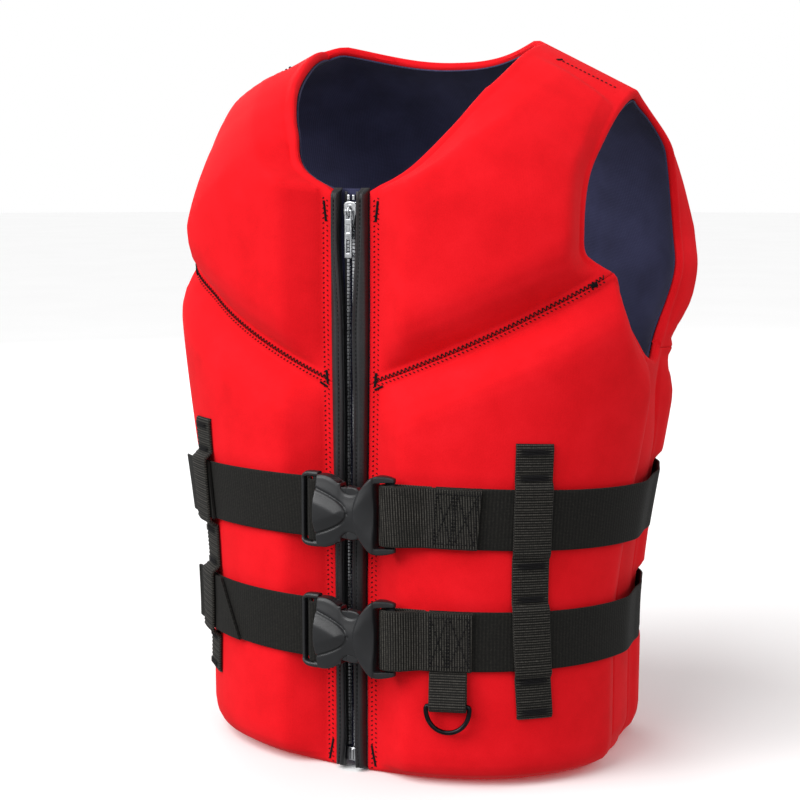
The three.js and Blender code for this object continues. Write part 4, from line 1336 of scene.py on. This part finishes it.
def socket_parts():
    """The socket: a domed front wall, a thin back wall, rails between them, and a strap bar."""
    x, z = outline_grid(SOCKET_START, SOCKET_BODY_END, 90)
    inside = SOCKET_EDGE(x) - np.abs(z)
    reach = DOME_HALF_WIDTH * np.sqrt(np.clip((DOME_TIP - x) / (DOME_TIP - SOCKET_START), 0, 1))
    into_dome = np.minimum(reach - np.abs(z), (DOME_TIP - x) * 1.2)
    crown = np.sqrt(np.clip(1 - (z / np.maximum(reach, 0.5)) ** 2, 0, 1))
    dome = smoothstep(0, 1.2, into_dome) * (0.9 + 3.2 * crown * smoothstep(-1, 9, into_dome))
    groove = 1.1 * np.exp(-((into_dome + 0.3) / 0.55) ** 2)
    crescent = x - (20.2 + 9.5 * (z / 25) ** 2)
    lip = 2.6 * smoothstep(-0.6, 0.9, crescent) - 0.024 * np.clip(crescent, 0, 20) ** 2
    waist = 1.6 * smoothstep(0, 12, inside) + 0.6 * smoothstep(10, -8, x)
    high = 10.1 + waist + dome - groove + lip - round_off(inside, 2.4)
    high -= round_off(SOCKET_BODY_END - x, 1.4) + round_off(x - SOCKET_START, 0.7)
    parts = [slab(x, z, np.full(x.shape, 8.9), high)]
    back = 0.4 + round_off(inside, 1.2)
    parts.append(slab(x, z * 0.985, np.minimum(back, 2.2), np.full(x.shape, 2.5)))
    for ends in ((0.0, 1.0), (0.0, -1.0)):
        x, z = outline_grid(SOCKET_START, 9, 30, *ends, inner=19.8)
        parts.append(slab(x, z, np.full(x.shape, 1.2), np.full(x.shape, 9.6)))
        x, z = outline_grid(30, SOCKET_END, 40, *ends, inner=21.7)
        high = 10.6 - 6.2 * smoothstep(32, 46, x) - round_off(SOCKET_EDGE(x) - np.abs(z), 1.2)
        high -= round_off(SOCKET_END - x, 1.5)
        parts.append(slab(x, z, np.full(x.shape, 0.4), high))
    x, z = outline_grid(25.2, SOCKET_BODY_END, 24)
    parts.append(slab(x, z * 0.98, np.full(x.shape, 0.5), np.full(x.shape, 9.6)))
    parts.append(bar_along_z((38.9, 46), (1, 3.2), 22.5))
    return parts


def bar_along_z(x, depth, half):
    """A rounded bar across the buckle from its x and depth limits."""
    corners = [(x[0], depth[0]), (x[1], depth[0]), (x[1], depth[1]), (x[0], depth[1])]
    section = [(a, -BUCKLE_BACK - d) for a, d in corner_cut(corners)]
    return loft([[(a, y, z) for a, y in section] for z in (-half, half)])


def plug_parts():
    """The plug: two bars with curved ends joining them, a cross wall and a guide tongue."""
    parts = [bar_along_z((-23.4, -20.7), (0.8, 6.2), 21.6),
             bar_along_z((-14.7, -9.7), (0.8, 6.4), 23.5)]
    for side in (-1, 1):
        section = corner_cut([(21.7, 0.7), (25.6, 0.7), (25.6, 6.8), (21.7, 6.8)])
        loops = []
        for x, size in ((-23.2, 0.7), (-22.6, 0.9), (-21.6, 1), (-20, 1), (-18, 1), (-15, 1.08),
                        (-11, 1.08), (-9.8, 1)):
            middle = 23.6 - 0.12 * max(-18 - x, 0) ** 2
            loops.append([(x, -BUCKLE_BACK - 3.7 - (d - 3.7) * size,
                           side * (middle + (z - 23.6) * size)) for z, d in section])
        parts.append(loft(loops))
    parts.append(box_part((-10.2, -6.8), (-BUCKLE_BACK - 7.4, -BUCKLE_BACK - 4.2), (-17.4, 17.4)))
    parts.append(box_part((-7, 19.8), (-BUCKLE_BACK - 7.3, -BUCKLE_BACK - 4.3), (-4.8, 4.8)))
    return parts


def latch_parts():
    """One sprung arm with a ribbed thumb pad, its pivot at the origin."""
    arm = corner_cut([(0.4, -2), (12, -2.2), (19, -4.3), (28.6, -5.6), (29.8, -3), (28.8, 2.4),
                      (22, 3.4), (17, 2.2), (0.4, 2)])
    parts = [loft([[(x, -BUCKLE_BACK - d, z) for x, z in arm] for d in (4.3, 8.7)])]
    pad = corner_cut([(18.2, -2.5), (28.4, -4.2), (29.2, -2), (28.4, 2.3), (22.2, 3.4),
                      (18.5, 2.6)])
    middle = pad.mean(0)
    layers = ((3.3, 0.82), (4.1, 1), (8.5, 1), (9.3, 0.82))
    parts.append(loft([[(x, -BUCKLE_BACK - d, z) for x, z in middle + (pad - middle) * size]
                       for d, size in layers]))
    for x in (20.6, 22.6, 24.6, 26.6):
        parts.append(box_part((x - 0.35, x + 0.35), (-BUCKLE_BACK - 8.3, -BUCKLE_BACK - 4.3),
                              (2.0, 3.75 - 0.14 * (x - 20))))
    return parts


def make_buckles():
    for level, middle in BELTS.items():
        lift = np.array([0, 0, middle])
        socket = fused(f"{level}_socket_moulding", moved(socket_parts(), lift), 0.5, PLASTIC, 3)
        settle(socket, [f"{level}_buckle_socket"])
        plug = fused(f"{level}_plug_moulding", moved(plug_parts(), lift), 0.45, PLASTIC, 2)
        settle(plug, [f"{level}_buckle_plug"], f"{level}_plug")
        for edge, side in (("top", 1), ("bottom", -1)):
            place = lift + (-6, 0, side * 14.6)
            arm = fused(f"{level}_{edge}_latch_moulding", moved(latch_parts(), place, side), 0.32,
                        PLASTIC, 2)
            settle(arm, [f"{level}_latch_{edge}"], f"{level}_latch_{edge}")


make_buckles()


# ---------------------------------------------------------------- D-ring
RING_X = 69.0
RING_Z = 58.0
RING_INSIDE = 25.8
RING_WIRE = 1.6


def make_ring():
    angle = angle_at(RING_X, np.array(RING_Z))
    normal = torso_normal(angle, RING_Z)
    turn = math.atan2(normal[0], -normal[1])
    origin = layer_point(angle, RING_Z, BELT_LOW)
    right = np.array([math.cos(turn), math.sin(turn), 0])
    out = np.array([math.sin(turn), -math.cos(turn), 0])
    up = np.array([0, 0, 1.0])

    def place(x, depth, z):
        return origin + right * x + out * depth + up * z

    top = BELTS["lower"] - BELT_WIDTH / 2 - 0.4 - RING_Z
    spin = np.linspace(math.pi, 2 * math.pi, 9)
    path = [(1.2, z) for z in np.linspace(top, 2, 6)]
    path += [(4 + 2.9 * math.cos(t), 2.9 * math.sin(t)) for t in spin]
    path += [(mix(6.9, 2.9, t), mix(0, top, t)) for t in (0.12, 0.3, 0.5, 0.75, 1)]
    rows = np.array([[place(edge * KEEPER_WIDTH / 2, d, z) for d, z in path] for edge in ACROSS])
    tab = ribbon("ring_tab_webbing", smooth_rows(rows, 0.4), RIBBED_WEBBING, 0.35, 2.6, 1.4, True)
    settle(tab, ["d_ring_tab"])

    half = RING_INSIDE / 2 + RING_WIRE
    line = [(x, 0.0) for x in np.linspace(0.6 - half, half - 0.6, 12)]
    line += [(half * math.cos(t), -14 * math.sin(t) ** 0.9 - 1.2 - 2.6 * math.sin(t))
             for t in np.linspace(0.02, math.pi - 0.02, 30)]
    rows = smooth_rows(np.array([[place(x, 4.0, z) for x, z in line + line[:1]]] * 2), 0.9)
    points, faces = wire(rows[0][:-1], RING_WIRE, 14, closed=True)
    ring = make_object("d_ring_wire", points, faces, RING_METAL)
    settle(ring, ["d_ring"], "d_ring")


make_ring()


# ---------------------------------------------------------------- stage, light and camera
FLOOR_RADIUS = 14.0
FLOOR_SIDES = 96
LIGHT_TARGET = (0, 0, 0.26)
SEEN_STRENGTH = 1.0
WORLD_STRENGTH = 0.45


def make_stage():
    """A pale floor that takes shadows but doesn't light the vest's hem from below."""
    n = Nodes("pale_floor", 0.9, specular=0.1)
    n.colours(n.noise(3.0), [(0.3, (0.97, 0.97, 0.97)), (0.7, (0.99, 0.99, 0.99))])
    mesh = bpy.data.meshes.new("studio_floor")
    ring = [(FLOOR_RADIUS * math.cos(t), FLOOR_RADIUS * math.sin(t), -0.0004)
            for t in np.linspace(0, 2 * math.pi, FLOOR_SIDES, endpoint=False)]
    mesh.from_pydata(ring, [], [tuple(range(FLOOR_SIDES))])
    mesh.materials.append(n.material)
    floor = linked("studio_floor", mesh)
    floor.visible_diffuse = False
    floor.visible_glossy = False


def aim(obj, target):
    direction = Vector(target) - obj.location
    obj.rotation_euler = direction.to_track_quat("-Z", "Y").to_euler()


def area_light(name, location, size, power):
    data = bpy.data.lights.new(name, "AREA")
    data.shape = "DISK"
    data.size = size
    data.energy = power
    lamp = linked(name, data)
    lamp.location = location
    aim(lamp, LIGHT_TARGET)


def sun_light(name, direction, strength, spread):
    """Even light from one side, which also keeps the floor white right to the horizon."""
    data = bpy.data.lights.new(name, "SUN")
    data.energy = strength
    data.angle = math.radians(spread)
    lamp = linked(name, data)
    lamp.location = direction
    aim(lamp, (0, 0, 0))


make_stage()
sun_light("key_light", (-0.95, -1.9, 2.1), 2.4, 55)
area_light("fill_light", (2.1, -2.0, 1.3), 1.8, 14)
area_light("accent_light", (-1.25, -1.9, 1.15), 0.9, 14)
area_light("rim_light", (1.9, 1.5, 1.2), 1.0, 10)
area_light("back_light", (-1.8, 1.7, 1.3), 1.6, 14)


def make_world():
    """A surround that looks white to the camera and lights the vest at under half that strength."""
    world = bpy.data.worlds.new("studio")
    world.use_nodes = True
    tree = world.node_tree
    seen, lighting = tree.nodes["Background"], tree.nodes.new("ShaderNodeBackground")
    for node, strength in ((seen, SEEN_STRENGTH), (lighting, WORLD_STRENGTH)):
        node.inputs["Color"].default_value = (1, 1, 1, 1)
        node.inputs["Strength"].default_value = strength
    rays = tree.nodes.new("ShaderNodeLightPath")
    choose = tree.nodes.new("ShaderNodeMixShader")
    tree.links.new(rays.outputs["Is Camera Ray"], choose.inputs[0])
    tree.links.new(lighting.outputs[0], choose.inputs[1])
    tree.links.new(seen.outputs[0], choose.inputs[2])
    tree.links.new(choose.outputs[0], tree.nodes["World Output"].inputs["Surface"])
    bpy.context.scene.world = world


make_world()

lens = bpy.data.cameras.new("camera")
lens.lens = 80.99
lens.sensor_width = 36
camera = linked("camera", lens)
camera.location = (0.5989, -1.1372, 0.4132)
aim(camera, (-0.0162, -0.00375, 0.2428))
bpy.context.scene.camera = camera
bpy.context.scene.view_settings.view_transform = "Standard"
